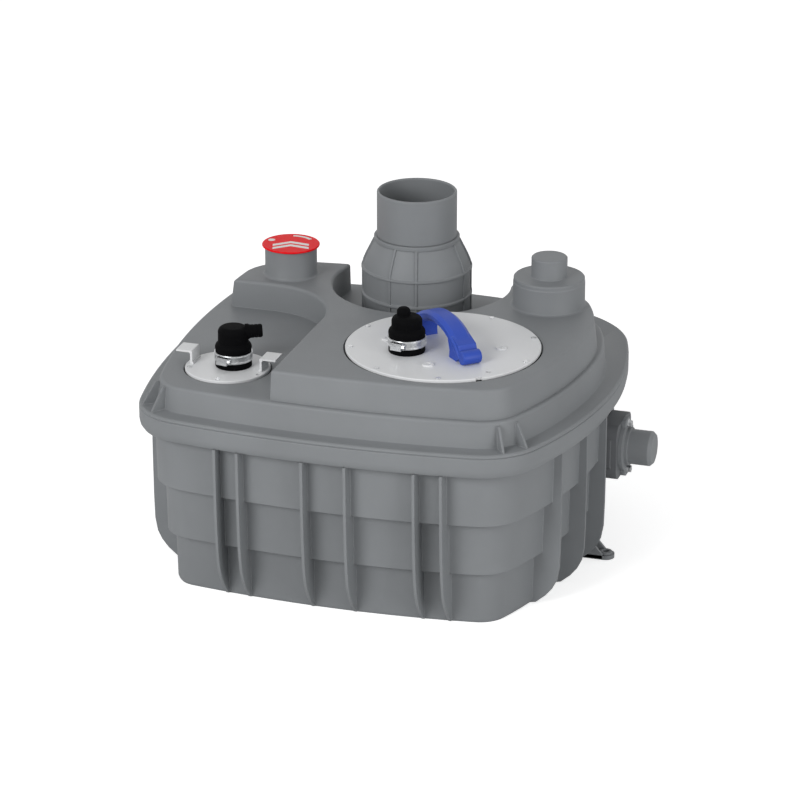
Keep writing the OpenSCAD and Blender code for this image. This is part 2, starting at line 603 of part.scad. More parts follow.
/* Pump motor */
module motor_head() {
    color(IRON) translate([pump_x, pump_y, 0]) difference() {
        union() {
            translate([0, 0, head_z]) cylinder(r = head_r, h = plate_z - head_z);
            translate([0, 0, head_z - 10]) cylinder(r = can_r - 3.7, h = 11);
            translate([0, 0, head_z - 24]) cylinder(r = 25, h = 15);
        }
        translate([0, 0, head_z - 25]) cylinder(r = bore_r, h = 13);
        translate([0, 0, head_z - 25]) cylinder(r = 12, h = 18);
        translate([0, 0, head_z - 11]) difference() { cylinder(r = can_r - 8, h = 7); translate([0, 0, -1]) cylinder(r = 28, h = 9); }
        for (a = motor_screw_a) rotate([0, 0, a]) translate([motor_pcd_r, 0, head_z + 1]) cylinder(r = 3 + hole_gap, h = 20, $fn = 24);
        rotate([0, 0, handle_a]) for (s = [-1, 1]) translate([s*handle_leg, 0, plate_z - 5]) cylinder(r = 8, h = 20);
        translate([boot_x, boot_y, head_z - 12]) cylinder(r = 9, h = 40, $fn = 32);
    }
}
module motor_can() {
    color(STEEL) translate([pump_x, pump_y, 0]) ring(can_z, head_z - can_z, can_r, can_r - 3.5);
}
module stator() {
    color(IRON) translate([pump_x, pump_y, 0]) difference() {
        ring(can_z + 32, 78, can_r - 3.6, rotor_r + 0.6);
        for (k = [0:11]) rotate([0, 0, 30*k]) translate([rotor_r + 4, -3.5, can_z + 30]) cube([15, 7, 90]);
    }
}
module winding() {
    color(COPPER) translate([pump_x, pump_y, 0]) {
        translate([0, 0, can_z + 20]) ring(0, 12, can_r - 9, rotor_r + 4);
        translate([0, 0, can_z + 110]) ring(0, 12, can_r - 9, rotor_r + 4);
        for (k = [0:11]) rotate([0, 0, 30*k]) translate([rotor_r + 4.5, -3.2, can_z + 31]) cube([14, 6.4, 80]);
    }
}
module bearing(z) {
    translate([0, 0, z]) difference() {
        ring(0, 12, bore_r, shaft_r + run_gap);
        for (e = [-1, 11]) translate([0, 0, e]) ring(0, 2, bore_r - 3, shaft_r + 3);
    }
}
module upper_bearing() { color(STEEL) translate([pump_x, pump_y, 0]) bearing(head_z - 24.5); }
module lower_bearing() { color(STEEL) translate([pump_x, pump_y, 0]) bearing(can_z + 2); }
module oil_housing() {
    color(IRON) translate([pump_x, pump_y, 0]) difference() {
        spun([[0, vol_top], [vol_r, vol_top], [vol_r, vol_top + 8], [40, vol_top + 8], [40, can_z - 10], [can_r, can_z - 10], [can_r, can_z],
            [can_r - 3.7, can_z], [can_r - 3.7, can_z + 6], [24, can_z + 6], [24, can_z + 14], [0, can_z + 14]]);
        spun([[0, vol_top - 1], [14, vol_top - 1], [14, vol_top + 6], [18, vol_top + 6], [18, vol_top + 12], [34, vol_top + 14], [34, can_z - 16],
            [14, can_z - 12], [14, can_z + 2], [bore_r, can_z + 2], [bore_r, can_z + 16], [0, can_z + 16]]);
        for (k = [0:3]) rotate([0, 0, 45 + 90*k]) translate([vol_r - 6, 0, vol_top - 1]) cylinder(r = 3 + hole_gap, h = 20, $fn = 24);
        translate([riser_x - pump_x, 0, vol_top - 1]) cylinder(r = riser_r + hole_gap, h = 12);
    }
}
module seal_seat() { color(DARK) translate([pump_x, pump_y, 0]) ring(vol_top + 6, 5, 18, shaft_r + 1); }

/* Volute and cutter */
module volute() {
    color(IRON) translate([pump_x, pump_y, 0]) difference() {
        union() {
            translate([0, 0, vol_z]) cylinder(r = vol_r, h = vol_top - vol_z);
            translate([0, 0, vol_z]) cylinder(r = vol_r + 2, h = 5);
            translate([40, -riser_r, vol_z + 4]) cube([riser_x - pump_x - 40, 2*riser_r, vol_top - vol_z - 4]);
            translate([riser_x - pump_x, 0, vol_z + 4]) cylinder(r = riser_r, h = vol_top - vol_z + 10);
            translate([riser_x - pump_x, 0, vol_top + 8]) cylinder(r = riser_r + 3.5, h = 6);
        }
        translate([0, 0, vol_z + 8]) cylinder(r = cham_r, h = vol_top - vol_z - 8);
        translate([0, 0, vol_z - 1]) cylinder(r = 26, h = 20);
        x_cyl(40, riser_x - pump_x - 40, 13, 0, vol_z + 24);
        translate([riser_x - pump_x, 0, vol_z + 11]) cylinder(r = riser_bore, h = 60);
        for (k = [0:3]) rotate([0, 0, 45 + 90*k]) translate([vol_r - 6, 0, vol_z + 16]) cylinder(r = 2.6, h = 60, $fn = 24);
        for (k = [0:3]) rotate([0, 0, 90*k]) translate([38, 0, vol_z - 1]) cylinder(r = 2.2, h = 8, $fn = 24);
    }
}
module volute_screws() {
    color(STEEL) translate([pump_x, pump_y, 0]) for (k = [0:3]) rotate([0, 0, 45 + 90*k]) translate([vol_r - 6, 0, 0])
        screw_at(vol_top + 8, 24, 2.4, 5, 4);
}
module impeller() {
    color(STEEL) translate([pump_x, pump_y, 0]) difference() {
        union() {
            translate([0, 0, vol_top - 10]) cylinder(r = imp_r, h = 5);
            translate([0, 0, vol_z + 12]) cylinder(r1 = 13, r2 = 17, h = vol_top - vol_z - 18);
            for (k = [0:vanes-1]) rotate([0, 0, 360/vanes*k]) translate([vane_x, vane_y, vol_z + 13]) rotate([0, 0, vane_a1])
                rotate_extrude(angle = 115 - vane_a1, $fn = 72) translate([vane_r - 3.5, 0]) square([3.5, vol_top - vol_z - 22]);
        }
        translate([0, 0, vol_z]) cylinder(r = 7 + hole_gap/2, h = 80);
    }
}
module cutter_plate() {
    color(STEEL) translate([pump_x, pump_y, 0]) difference() {
        translate([0, 0, cut_z]) cylinder(r = 44, h = vol_z - cut_z);
        translate([0, 0, cut_z - 1]) cylinder(r = cut_bore, h = 20);
        for (k = [0:slots-1]) rotate([0, 0, 360/slots*k]) translate([cut_bore - 2, -2, cut_z - 1]) cube([7, 4, 20]);
        for (k = [0:3]) rotate([0, 0, 90*k]) translate([38, 0, cut_z - 1]) cylinder(r = 2 + hole_gap, h = 20, $fn = 24);
    }
}
module cutter_screws() {
    color(STEEL) translate([pump_x, pump_y, 0]) for (k = [0:3]) rotate([0, 0, 90*k]) translate([38, 0, 0]) {
        translate([0, 0, cut_z - 0.4]) cylinder(r = 2, h = 12, $fn = 24);
        translate([0, 0, cut_z - 2.6]) cylinder(r = 4, h = 2.6, $fn = 24);
    }
}
module cutter_head() {
    color(STEEL) translate([pump_x, pump_y, 0]) difference() {
        union() {
            translate([0, 0, cut_z - 6]) cylinder(r = 12, h = vol_z + 12 - cut_z + 6);
            difference() {
                translate([0, 0, cut_z - 6]) cylinder(r = cut_bore - 0.5, h = 11);
                for (k = [0:2]) rotate([0, 0, 120*k + 30]) translate([12.5, -6, cut_z - 7]) cube([20, 12, 20]);
            }
            for (k = [0:2]) rotate([0, 0, 120*k + 90]) translate([8, -4, cut_z - 6]) cube([22, 8, 5.4]);
        }
        translate([0, 0, cut_z - 7]) cylinder(r = 5 + hole_gap/2, h = 60);
    }
}
module cutter_bolt() {
    color(STEEL) translate([pump_x, pump_y, 0]) {
        translate([0, 0, cut_z - 11]) cylinder(r = 8, h = 5, $fn = 6);
        translate([0, 0, cut_z - 6.5]) cylinder(r = 5, h = 6.5, $fn = 32);
    }
}
module shaft() {
    color(STEEL) translate([pump_x, pump_y, 0]) union() {
        translate([0, 0, cut_z]) cylinder(r = 5, h = vol_z + 12.5 - cut_z);
        translate([0, 0, vol_z + 12]) cylinder(r = 7, h = vol_top - vol_z - 12);
        translate([0, 0, vol_top - 5]) cylinder(r = shaft_r, h = head_z - vol_top - 7);
        translate([0, 0, can_z + 16]) cylinder(r = 12, h = head_z - can_z - 43);
    }
}
module rotor_core() {
    color(DARK) translate([pump_x, pump_y, 0]) difference() {
        ring(can_z + 34, 74, rotor_r, 12 + hole_gap/4);
        for (k = [0:17]) rotate([0, 0, 20*k]) translate([rotor_r - 4, 0, can_z + 33]) cylinder(r = 1.8, h = 90, $fn = 16);
    }
}
module seal_ring() { color(STEEL) translate([pump_x, pump_y, 0]) ring(vol_top + 11.1, 12, 16, shaft_r + hole_gap/4); }

/* Pump outlet */
module elbow_path(r, z0, x1) {
    translate([riser_x, pump_y, z0]) cylinder(r = r, h = riser_z - z0, $fn = 48);
    translate([riser_x + bend_r, pump_y, riser_z]) rotate([90, 0, 0]) bend(r, 90);
    x_cyl(riser_x + bend_r, x1 - riser_x - bend_r, r, pump_y, port_z);
}
module outlet_elbow() {
    color(IRON) difference() {
        union() {
            elbow_path(riser_r, vol_top + 14, couple_x - face_gap);
            translate([riser_x, pump_y, vol_top + 14]) cylinder(r = riser_r + 3.5, h = 5);
            x_cyl(couple_x - 7, 7 - face_gap, couple_r, pump_y, port_z);
        }
        elbow_path(riser_bore, vol_top, couple_x + 3);
        difference() { x_cyl(couple_x - 2.3, 4, 25, pump_y, port_z); x_cyl(couple_x - 4, 8, 22, pump_y, port_z); }
    }
}
module face_seal() {
    color(BLACK) difference() {
        x_cyl(couple_x - 2.3, 2.2, 24.9, pump_y, port_z);
        x_cyl(couple_x - 4, 8, 22.1, pump_y, port_z);
    }
}

/* Level sensor */
sb_x = 6;
sb_y = 6;
module sensor_gasket() {
    color(BLACK) translate([sens_x, sens_y, 0]) difference() {
        ring(sens_seat, sens_gasket_t, sens_r + 0.8, sens_open_r);
        for (a = sens_screw_a) rotate([0, 0, a]) translate([sens_r - 6, 0, sens_seat - 1]) cylinder(r = screw_r + hole_gap, h = 5, $fn = 24);
    }
}
module sensor_plate() {
    color(WHITE) translate([sens_x, sens_y, 0]) difference() {
        union() {
            spun([[0, sens_z], [sens_r, sens_z], [sens_r, sens_top - 0.8], [sens_r - 0.8, sens_top], [0, sens_top]]);
            translate([sb_x, sb_y, sens_z]) cylinder(r = 19, h = 30);
        }
        translate([sb_x, sb_y, sens_z - 1]) cylinder(r = dip_r - 3, h = 50);
        for (a = sens_screw_a) rotate([0, 0, a]) translate([sens_r - 6, 0, sens_z - 1]) cylinder(r = screw_r + hole_gap, h = 9, $fn = 24);
        translate([49, -18, sens_z - 1]) cylinder(r = 2.8, h = 10, $fn = 32);
    }
}
module sensor_screws() {
    color(STEEL) translate([sens_x, sens_y, 0]) for (a = sens_screw_a) rotate([0, 0, a]) translate([sens_r - 6, 0, 0])
        screw_at(sens_top, sens_t + sens_gasket_t + 5.5, screw_r, 3.4, 1);
}
module sensor_clips() {
    color(WHITE) translate([sens_x, sens_y, 0]) for (s = [0, 1]) mirror([s, 0, 0])
        translate([0, 20, 0]) rotate([90, 0, 0]) linear_extrude(28)
            polygon([[46, sens_top], [50.5, sens_top], [50.5, sens_top + 20.5], [52, sens_top + 22], [70, sens_top + 22],
                [70, sens_top + 24.5], [48.5, sens_top + 24.5], [47.5, sens_top + 23.5], [47.5, sens_top + 3], [46, sens_top + 3]]);
}
module sensor_boot() {
    color(BLACK) translate([sens_x + sb_x, sens_y + sb_y, 0]) difference() {
        union() {
            boot_body(sens_top);
            translate([0, 0, sens_top + 48]) rotate([0, 90, 18]) spun([[0, 16], [11, 16], [11, 22], [9.2, 25], [9.2, 30], [8.6, 31],
                [9.2, 32], [9.2, 36], [8.6, 37], [9.2, 38], [9.2, 42], [7.5, 44], [0, 44]]);
        }
        translate([0, 0, sens_top + 48]) rotate([0, 90, 18]) cylinder(r = 5.5, h = 50, $fn = 32);
    }
}
module sensor_clamp() { color(STEEL) translate([sens_x + sb_x, sens_y + sb_y, 0]) clamp_at(sens_top + 9.3); }
module sensor_clamp_screw() { color(STEEL) translate([sens_x + sb_x, sens_y + sb_y, 0]) clamp_screw_at(sens_top + 9.3); }
module dip_tube() {
    color(GREY) translate([sens_x + sb_x, sens_y + sb_y, 0]) difference() {
        union() {
            translate([0, 0, 42]) cylinder(r = dip_r, h = sens_z - 42);
            translate([0, 0, sens_z - 5]) cylinder(r = dip_r + 6, h = 5);
        }
        translate([0, 0, 40]) cylinder(r = dip_r - 2.5, h = 400);
        for (k = [0:3]) rotate([0, 0, 90*k + 45]) translate([0, 0, 66]) rotate([0, 90, 0]) cylinder(r = 4, h = 30, $fn = 32);
    }
}
module pressure_switch() {
    color(BLACK) translate([sens_x + sb_x, sens_y + sb_y, sens_z + 30]) {
        translate([0, 0, 0]) cylinder(r = 15.5, h = 9);
        translate([0, 0, 8]) cylinder(r = 6, h = 8);
        translate([0, 0, -8]) cylinder(r = 8, h = 9);
        for (x = [-3, 3]) translate([x - 0.5, -2, 15]) cube([1, 4, 7]);
    }
}

/* Output */
tank_base();
tank_cover();
inlet_bell();
inlet_pipe();
vent_cap();
port_gasket();
valve_housing();
flap_rubber();
flap();
flap_pin();
discharge_stub();
housing_screws();
inner_pipe();
plate_gasket();
pump_plate();
plate_screws();
motor_screws();
handle();
handle_bolts();
cable_boot();
boot_clamp();
clamp_screw();
motor_head();
motor_can();
stator();
winding();
upper_bearing();
lower_bearing();
oil_housing();
seal_seat();
volute();
volute_screws();
impeller();
cutter_plate();
cutter_screws();
cutter_head();
cutter_bolt();
shaft();
rotor_core();
seal_ring();
outlet_elbow();
face_seal();
sensor_gasket();
sensor_plate();
sensor_screws();
sensor_clips();
sensor_boot();
sensor_clamp();
sensor_clamp_screw();
dip_tube();
pressure_switch();
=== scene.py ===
# %% [markdown]
# # Dressing a sewage lifting station
#
# The object is a moulded plastic tank with a stepped cover, a lift-out pump under a white plate, a level
# sensor, a ribbed inlet bell and a side discharge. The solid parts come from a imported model, which stays
# exactly where it is. This lesson gives every part its finish, adds the small details that belong to the
# surface, and sets up a plain studio round it.

import math

import bmesh
import bpy
from mathutils import Matrix, Vector


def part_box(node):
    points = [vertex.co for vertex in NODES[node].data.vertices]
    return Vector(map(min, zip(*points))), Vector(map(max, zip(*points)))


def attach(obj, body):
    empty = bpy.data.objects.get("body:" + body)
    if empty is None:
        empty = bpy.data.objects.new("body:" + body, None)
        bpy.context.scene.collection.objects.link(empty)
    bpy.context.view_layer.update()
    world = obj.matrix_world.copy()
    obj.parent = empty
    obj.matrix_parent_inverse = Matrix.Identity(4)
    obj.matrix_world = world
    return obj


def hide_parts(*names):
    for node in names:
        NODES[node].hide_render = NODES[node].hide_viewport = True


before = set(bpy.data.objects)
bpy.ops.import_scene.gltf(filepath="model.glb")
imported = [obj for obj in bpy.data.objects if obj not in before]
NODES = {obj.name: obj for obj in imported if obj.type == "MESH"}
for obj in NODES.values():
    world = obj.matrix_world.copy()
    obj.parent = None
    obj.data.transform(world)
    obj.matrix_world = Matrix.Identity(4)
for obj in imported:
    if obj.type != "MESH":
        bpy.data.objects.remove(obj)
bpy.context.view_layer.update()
MM = 0.001

# %% [markdown]
# ## The camera
#
# A product picture is taken from far away with a long lens, so that the object's edges stay nearly
# parallel. The camera looks at a point on the tank's axis, from the right of the front and a little above.
# The small shift puts that point where it sits in the picture without turning the camera.

# %% Place the camera
LOOK_AT = Vector((0, 0, 180)) * MM
AZIMUTH, ELEVATION = math.radians(17.7), math.radians(21.6)
DISTANCE = 5.468
LENS, FRAME_PX = 180, 800
LEFT_PX, DOWN_PX = 10.1, 15.7

back = Vector((
    math.sin(AZIMUTH) * math.cos(ELEVATION),
    -math.cos(AZIMUTH) * math.cos(ELEVATION),
    math.sin(ELEVATION),
))
camera_data = bpy.data.cameras.new("picture_camera")
camera_data.lens = LENS
camera_data.shift_x = LEFT_PX / FRAME_PX
camera_data.shift_y = DOWN_PX / FRAME_PX
camera_data.clip_start, camera_data.clip_end = 0.1, 60
camera = bpy.data.objects.new("picture_camera", camera_data)
camera.location = LOOK_AT + back * DISTANCE
camera.rotation_mode = "QUATERNION"
camera.rotation_quaternion = (-back).to_track_quat("-Z", "Y")
bpy.context.scene.collection.objects.link(camera)
bpy.context.scene.camera = camera
print("camera at", [round(v, 2) for v in camera.location])

# %% [markdown]
# ## Smooth and sharp edges
#
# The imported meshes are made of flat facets. Real moulded corners are round, so faces that meet at a small
# angle are shaded as one smooth surface, while true corners stay sharp. This could be marked by hand on each
# mesh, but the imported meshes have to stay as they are. A modifier leaves them alone: it welds the points that
# faces share and then marks which edges stay sharp.

# %% Build the smoothing modifier's node group
SHARP_ANGLE = math.radians(28)
WELD = 1e-6


def smoothing_group():
    """A modifier group that smooths every edge up to SHARP_ANGLE."""
    group = bpy.data.node_groups.new("Smooth Small Angles", "GeometryNodeTree")
    group.interface.new_socket("Geometry", in_out="INPUT", socket_type="NodeSocketGeometry")
    group.interface.new_socket("Geometry", in_out="OUTPUT", socket_type="NodeSocketGeometry")
    n, l = group.nodes, group.links
    start, end = n.new("NodeGroupInput"), n.new("NodeGroupOutput")
    weld = n.new("GeometryNodeMergeByDistance")
    weld.inputs["Distance"].default_value = WELD
    angle = n.new("GeometryNodeInputMeshEdgeAngle")
    sharp = n.new("FunctionNodeCompare")
    sharp.data_type, sharp.operation = "FLOAT", "LESS_EQUAL"
    sharp.inputs["B"].default_value = SHARP_ANGLE
    faces = n.new("GeometryNodeSetShadeSmooth")
    faces.domain = "FACE"
    edges = n.new("GeometryNodeSetShadeSmooth")
    edges.domain = "EDGE"
    l.new(start.outputs[0], weld.inputs["Geometry"])
    l.new(weld.outputs["Geometry"], faces.inputs["Geometry"])
    l.new(faces.outputs["Geometry"], edges.inputs["Geometry"])
    l.new(angle.outputs["Unsigned Angle"], sharp.inputs["A"])
    l.new(sharp.outputs["Result"], edges.inputs["Shade Smooth"])
    l.new(edges.outputs["Geometry"], end.inputs[0])
    return group


SMOOTHING = smoothing_group()


def smooth(piece):
    """Put the smoothing modifier on a piece."""
    modifier = piece.modifiers.new("smooth small angles", "NODES")
    modifier.node_group = SMOOTHING


for node in NODES.values():
    smooth(node)
print("smoothed nodes:", len(NODES))

# %% [markdown]
# ## Small helpers for node groups
#
# Several finishes need the same effects, so these are node groups with named sockets, and each material sets
# its own values. A group could be wired node by node each time. Five short helpers say the same in one line
# each: a new group, noise, a changed range, one operation and a mix of colours.

# %% Write the node helpers


def new_group(name, inputs, outputs):
    """A shader group with named sockets, its group input and its group output."""
    group = bpy.data.node_groups.new(name, "ShaderNodeTree")
    kinds = {"colour": "NodeSocketColor", "number": "NodeSocketFloat"}
    for label, kind, value in inputs:
        group.interface.new_socket(label, in_out="INPUT", socket_type=kinds[kind]).default_value = value
    for label, kind in outputs:
        group.interface.new_socket(label, in_out="OUTPUT", socket_type=kinds[kind])
    return group, group.nodes.new("NodeGroupInput"), group.nodes.new("NodeGroupOutput")


def noise(group, scale, detail=2.0, roughness=0.5):
    """Noise over the object's own coordinates, in lumps of about 1 / scale metres."""
    place = group.nodes.new("ShaderNodeTexCoord")
    node = group.nodes.new("ShaderNodeTexNoise")
    node.inputs["Detail"].default_value = detail
    node.inputs["Roughness"].default_value = roughness
    if isinstance(scale, float):
        node.inputs["Scale"].default_value = scale
    else:
        group.links.new(scale, node.inputs["Scale"])
    group.links.new(place.outputs["Object"], node.inputs["Vector"])
    return node.outputs["Fac"]


def remap(group, value, low, high, from_low=0.3, from_high=0.7):
    """Value stretched from one range to another; low and high may be sockets."""
    node = group.nodes.new("ShaderNodeMapRange")
    node.inputs["From Min"].default_value = from_low
    node.inputs["From Max"].default_value = from_high
    for name, end in (("To Min", low), ("To Max", high)):
        if isinstance(end, (int, float)):
            node.inputs[name].default_value = end
        else:
            group.links.new(end, node.inputs[name])
    group.links.new(value, node.inputs["Value"])
    return node.outputs["Result"]


def maths(group, operation, a, b):
    """One operation on two values, each a number or a socket."""
    node = group.nodes.new("ShaderNodeMath")
    node.operation = operation
    for socket, value in zip(node.inputs, (a, b)):
        if isinstance(value, (int, float)):
            socket.default_value = value
        else:
            group.links.new(value, socket)
    return node.outputs[0]


def blend_colours(group, factor, a, b, mode="MIX"):
    """Two colours mixed by a factor, each a value or a socket."""
    node = group.nodes.new("ShaderNodeMix")
    node.data_type, node.blend_type = "RGBA", mode
    sockets = [s for s in node.inputs if s.type == "RGBA"]
    for socket, value in ((node.inputs["Factor"], factor), (sockets[0], a), (sockets[1], b)):
        if hasattr(value, "is_linked"):
            group.links.new(value, socket)
        else:
            socket.default_value = value
    return [s for s in node.outputs if s.type == "RGBA"][0]


print("helpers for groups: new_group, noise, remap, maths, blend_colours")

# %% [markdown]
# ## The moulded skin
#
# Moulded plastic is never one flat colour: the tone drifts a little over a hand's width, and a fine grain
# breaks up its shine. Painted pictures could show that, but they need an unwrapped mesh. Noise that follows
# the object's own coordinates needs none, and it stays with the piece when the piece moves.

# %% Build the moulded skin group
DRIFT_PER_METRE, RUB = 9.0, 0.05


def moulded_skin_group():
    """Colour, roughness and grain of a moulded surface."""
    group, start, end = new_group(
        "Moulded Skin",
        [("Colour", "colour", (0.25, 0.26, 0.27, 1)), ("Tone Drift", "number", 0.05),
         ("Roughness", "number", 0.45), ("Grain per Metre", "number", 900.0)],
        [("Color", "colour"), ("Roughness", "number"), ("Grain", "number")],
    )
    drift = noise(group, DRIFT_PER_METRE, 3.0)
    spread = start.outputs["Tone Drift"]
    tone = remap(group, drift, maths(group, "SUBTRACT", 1.0, spread), maths(group, "ADD", 1.0, spread))
    shade = group.nodes.new("ShaderNodeCombineColor")
    for channel in ("Red", "Green", "Blue"):
        group.links.new(tone, shade.inputs[channel])
    colour = blend_colours(group, 1.0, start.outputs["Colour"], shade.outputs["Color"], "MULTIPLY")
    grain = noise(group, start.outputs["Grain per Metre"], 2.0, 0.6)
    rough = start.outputs["Roughness"]
    rub = remap(group, grain, maths(group, "SUBTRACT", rough, RUB), maths(group, "ADD", rough, RUB))
    group.links.new(colour, end.inputs["Color"])
    group.links.new(rub, end.inputs["Roughness"])
    group.links.new(grain, end.inputs["Grain"])
    return group


MOULDED_SKIN = moulded_skin_group()
print("group:", MOULDED_SKIN.name)

# %% [markdown]
# ## Edges that are rubbed, with a painted highlight
#
# Every real edge is slightly rounded, a little paler where things have rubbed along it, and bright where it
# catches the light. Cutting real bevels into every part would change its mesh. A Bevel node only gives the
# normal that a rounded edge would have. Where that normal turns away from the flat face's own, there is an
# edge, so the difference of the two is a mask for a paler colour there: partly rubbing, partly a painted
# highlight.

# %% Build the edge group
BEVEL_SAMPLES = 4
# The paler colour along edges is partly rubbing and partly a painted highlight that a rounded edge catches.
HIGHLIGHT_AND_WEAR_FULL, HIGHLIGHT_AND_WEAR_NONE = 0.86, 0.995


def highlight_and_wear_group():
    """A patchy mask of the edges within a radius, for rubbing and a painted highlight."""
    group, start, end = new_group(
        "Highlight And Wear Edge",
        [("Radius", "number", 0.0015), ("Break Up per Metre", "number", 120.0)],
        [("Mask", "number")],
    )
    bevel = group.nodes.new("ShaderNodeBevel")
    bevel.samples = BEVEL_SAMPLES
    group.links.new(start.outputs["Radius"], bevel.inputs["Radius"])
    surface = group.nodes.new("ShaderNodeNewGeometry")
    dot = group.nodes.new("ShaderNodeVectorMath")
    dot.operation = "DOT_PRODUCT"
    group.links.new(bevel.outputs["Normal"], dot.inputs[0])
    group.links.new(surface.outputs["Normal"], dot.inputs[1])
    turned_away = remap(group, dot.outputs["Value"], 1.0, 0.0, HIGHLIGHT_AND_WEAR_FULL, HIGHLIGHT_AND_WEAR_NONE)
    patchy = remap(group, noise(group, start.outputs["Break Up per Metre"], 3.0), 0.35, 1.0)
    group.links.new(maths(group, "MULTIPLY", turned_away, patchy), end.inputs["Mask"])
    return group


HIGHLIGHT_AND_WEAR_EDGE = highlight_and_wear_group()
print("group:", HIGHLIGHT_AND_WEAR_EDGE.name)

# %% [markdown]
# ## Finishes
#
# Every finish on the station is the same idea with other values. Each material could be wired by hand, but
# then they would soon differ by mistake. So one helper makes them all: it places the groups with this finish's
# own values, joins them to a Principled shader, and adds a fine bump. The shader's plain values, such as how
# metallic it is, are set straight on its own sockets.

# %% Write the material helper
BUMP_DEPTH = 0.0004


def use_group(material, group, values):
    """A group placed in a material with some of its sockets set."""
    node = material.node_tree.nodes.new("ShaderNodeGroup")
    node.node_tree = group
    for name, value in values.items():
        node.inputs[name].default_value = value
    return node


def finish_material(name, colour, roughness, highlight_and_wear_colour=None, highlight_and_wear_share=0.4, drift=0.05, grain=900.0, bump=0.04, edge=0.0012,
                    metallic=0.0, specular=0.5):
    """A finish with moulded skin, rounded edges in a paler colour for rubbing and a painted highlight, and a fine
    bump.
    """
    material = bpy.data.materials.new(name)
    material.use_nodes = True
    n, l = material.node_tree.nodes, material.node_tree.links
    shader = n["Principled BSDF"]
    shader.inputs["Metallic"].default_value = metallic
    shader.inputs["Specular IOR Level"].default_value = specular
    surface = use_group(material, MOULDED_SKIN, {"Colour": (*colour, 1), "Tone Drift": drift,
                                                 "Roughness": roughness, "Grain per Metre": grain})
    colour_out = surface.outputs["Color"]
    # Edges get a paler colour here: partly rubbing, partly a painted highlight.
    if highlight_and_wear_colour:
        edges = use_group(material, HIGHLIGHT_AND_WEAR_EDGE, {"Radius": edge})
        amount = n.new("ShaderNodeMath")
        amount.operation = "MULTIPLY"
        amount.inputs[1].default_value = highlight_and_wear_share
        l.new(edges.outputs["Mask"], amount.inputs[0])
        colour_out = blend_colours(material.node_tree, amount.outputs[0], colour_out, (*highlight_and_wear_colour, 1))
    l.new(colour_out, shader.inputs["Base Color"])
    l.new(surface.outputs["Roughness"], shader.inputs["Roughness"])
    round_edge = n.new("ShaderNodeBevel")
    round_edge.samples = BEVEL_SAMPLES
    round_edge.inputs["Radius"].default_value = edge
    texture = n.new("ShaderNodeBump")
    texture.inputs["Strength"].default_value = bump
    texture.inputs["Distance"].default_value = BUMP_DEPTH
    l.new(surface.outputs["Grain"], texture.inputs["Height"])
    l.new(round_edge.outputs["Normal"], texture.inputs["Normal"])
    l.new(texture.outputs["Normal"], shader.inputs["Normal"])
    return material


def dress(material, *names):
    """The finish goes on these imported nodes."""
    for name in names:
        NODES[name].data.materials.clear()
        NODES[name].data.materials.append(material)
    print(material.name, "on", ", ".join(names))


print("groups that every finish can use:", MOULDED_SKIN.name, "and", HIGHLIGHT_AND_WEAR_EDGE.name)

# %% [markdown]
# ## Plastics
#
# The tank is rotationally moulded grey polyethylene with a fine matt grain. The round plates are smoother
# white plastic, the lifting handle is blue, and the vent's cap is red. One shared material with other colours
# would do for a distant view. Here each plastic has its own shine, grain and paler edge, because they lie
# side by side.

# %% Dress the plastic parts
tank_grey = finish_material("tank_grey", (0.225, 0.236, 0.246), 0.5, highlight_and_wear_colour=(0.36, 0.375, 0.39), drift=0.045,
                            edge=0.0018, specular=0.25)
dress(tank_grey, "tank_base", "tank_cover", "inlet_bell", "inlet_pipe", "inner_pipe", "dip_tube", "discharge_stub")
housing_grey = finish_material("housing_grey", (0.15, 0.157, 0.165), 0.5, highlight_and_wear_colour=(0.28, 0.29, 0.30), specular=0.25)
dress(housing_grey, "valve_housing", "flap")
plate_white = finish_material("plate_white", (0.79, 0.80, 0.81), 0.4, highlight_and_wear_colour=(0.88, 0.88, 0.88), drift=0.02,
                              edge=0.0008, specular=0.3)
dress(plate_white, "pump_plate", "motor_screws", "sensor_plate", "sensor_clips")
handle_blue = finish_material("handle_blue", (0.028, 0.075, 0.44), 0.42, highlight_and_wear_colour=(0.10, 0.2, 0.7), highlight_and_wear_share=0.5,
                              drift=0.06, edge=0.0016, specular=0.3)
dress(handle_blue, "handle")
cap_red = finish_material("cap_red", (0.92, 0.004, 0.01), 0.4, highlight_and_wear_colour=(0.85, 0.05, 0.05), highlight_and_wear_share=0.3, drift=0.03,
                          specular=0.08)
dress(cap_red, "vent_cap")

# %% [markdown]
# ## Rubber
#
# The boots and seals are rubber: nearly black, rough and soft to the light. A pure black would hide their
# shape, so the colour is a very dark grey, the bump is deeper than the plastic's, and the edges carry a dull
# painted sheen in a paler colour. The hard black plastic of the seal's seat and the pressure switch is a little
# lighter and smoother.

# %% Dress the rubber parts
rubber_black = finish_material("rubber_black", (0.0025, 0.0025, 0.003), 0.7, highlight_and_wear_colour=(0.01, 0.01, 0.011), drift=0.15,
                               grain=1500.0, bump=0.1, specular=0.04)
dress(rubber_black, "cable_boot", "sensor_boot", "plate_gasket", "port_gasket", "sensor_gasket", "flap_rubber",
      "face_seal")
plastic_black = finish_material("plastic_black", (0.02, 0.02, 0.022), 0.4, highlight_and_wear_colour=(0.06, 0.06, 0.06), drift=0.08)
dress(plastic_black, "pressure_switch", "seal_seat")

# %% [markdown]
# ## Metals
#
# Stainless bands and screws are bright, the pump's castings are painted dark grey, and the motor inside has
# stacked sheet steel and copper wire. The same helper serves: bare metal is fully metallic, so its colour
# tints its reflections. A painted casting is not metallic, and has a deeper bump instead.

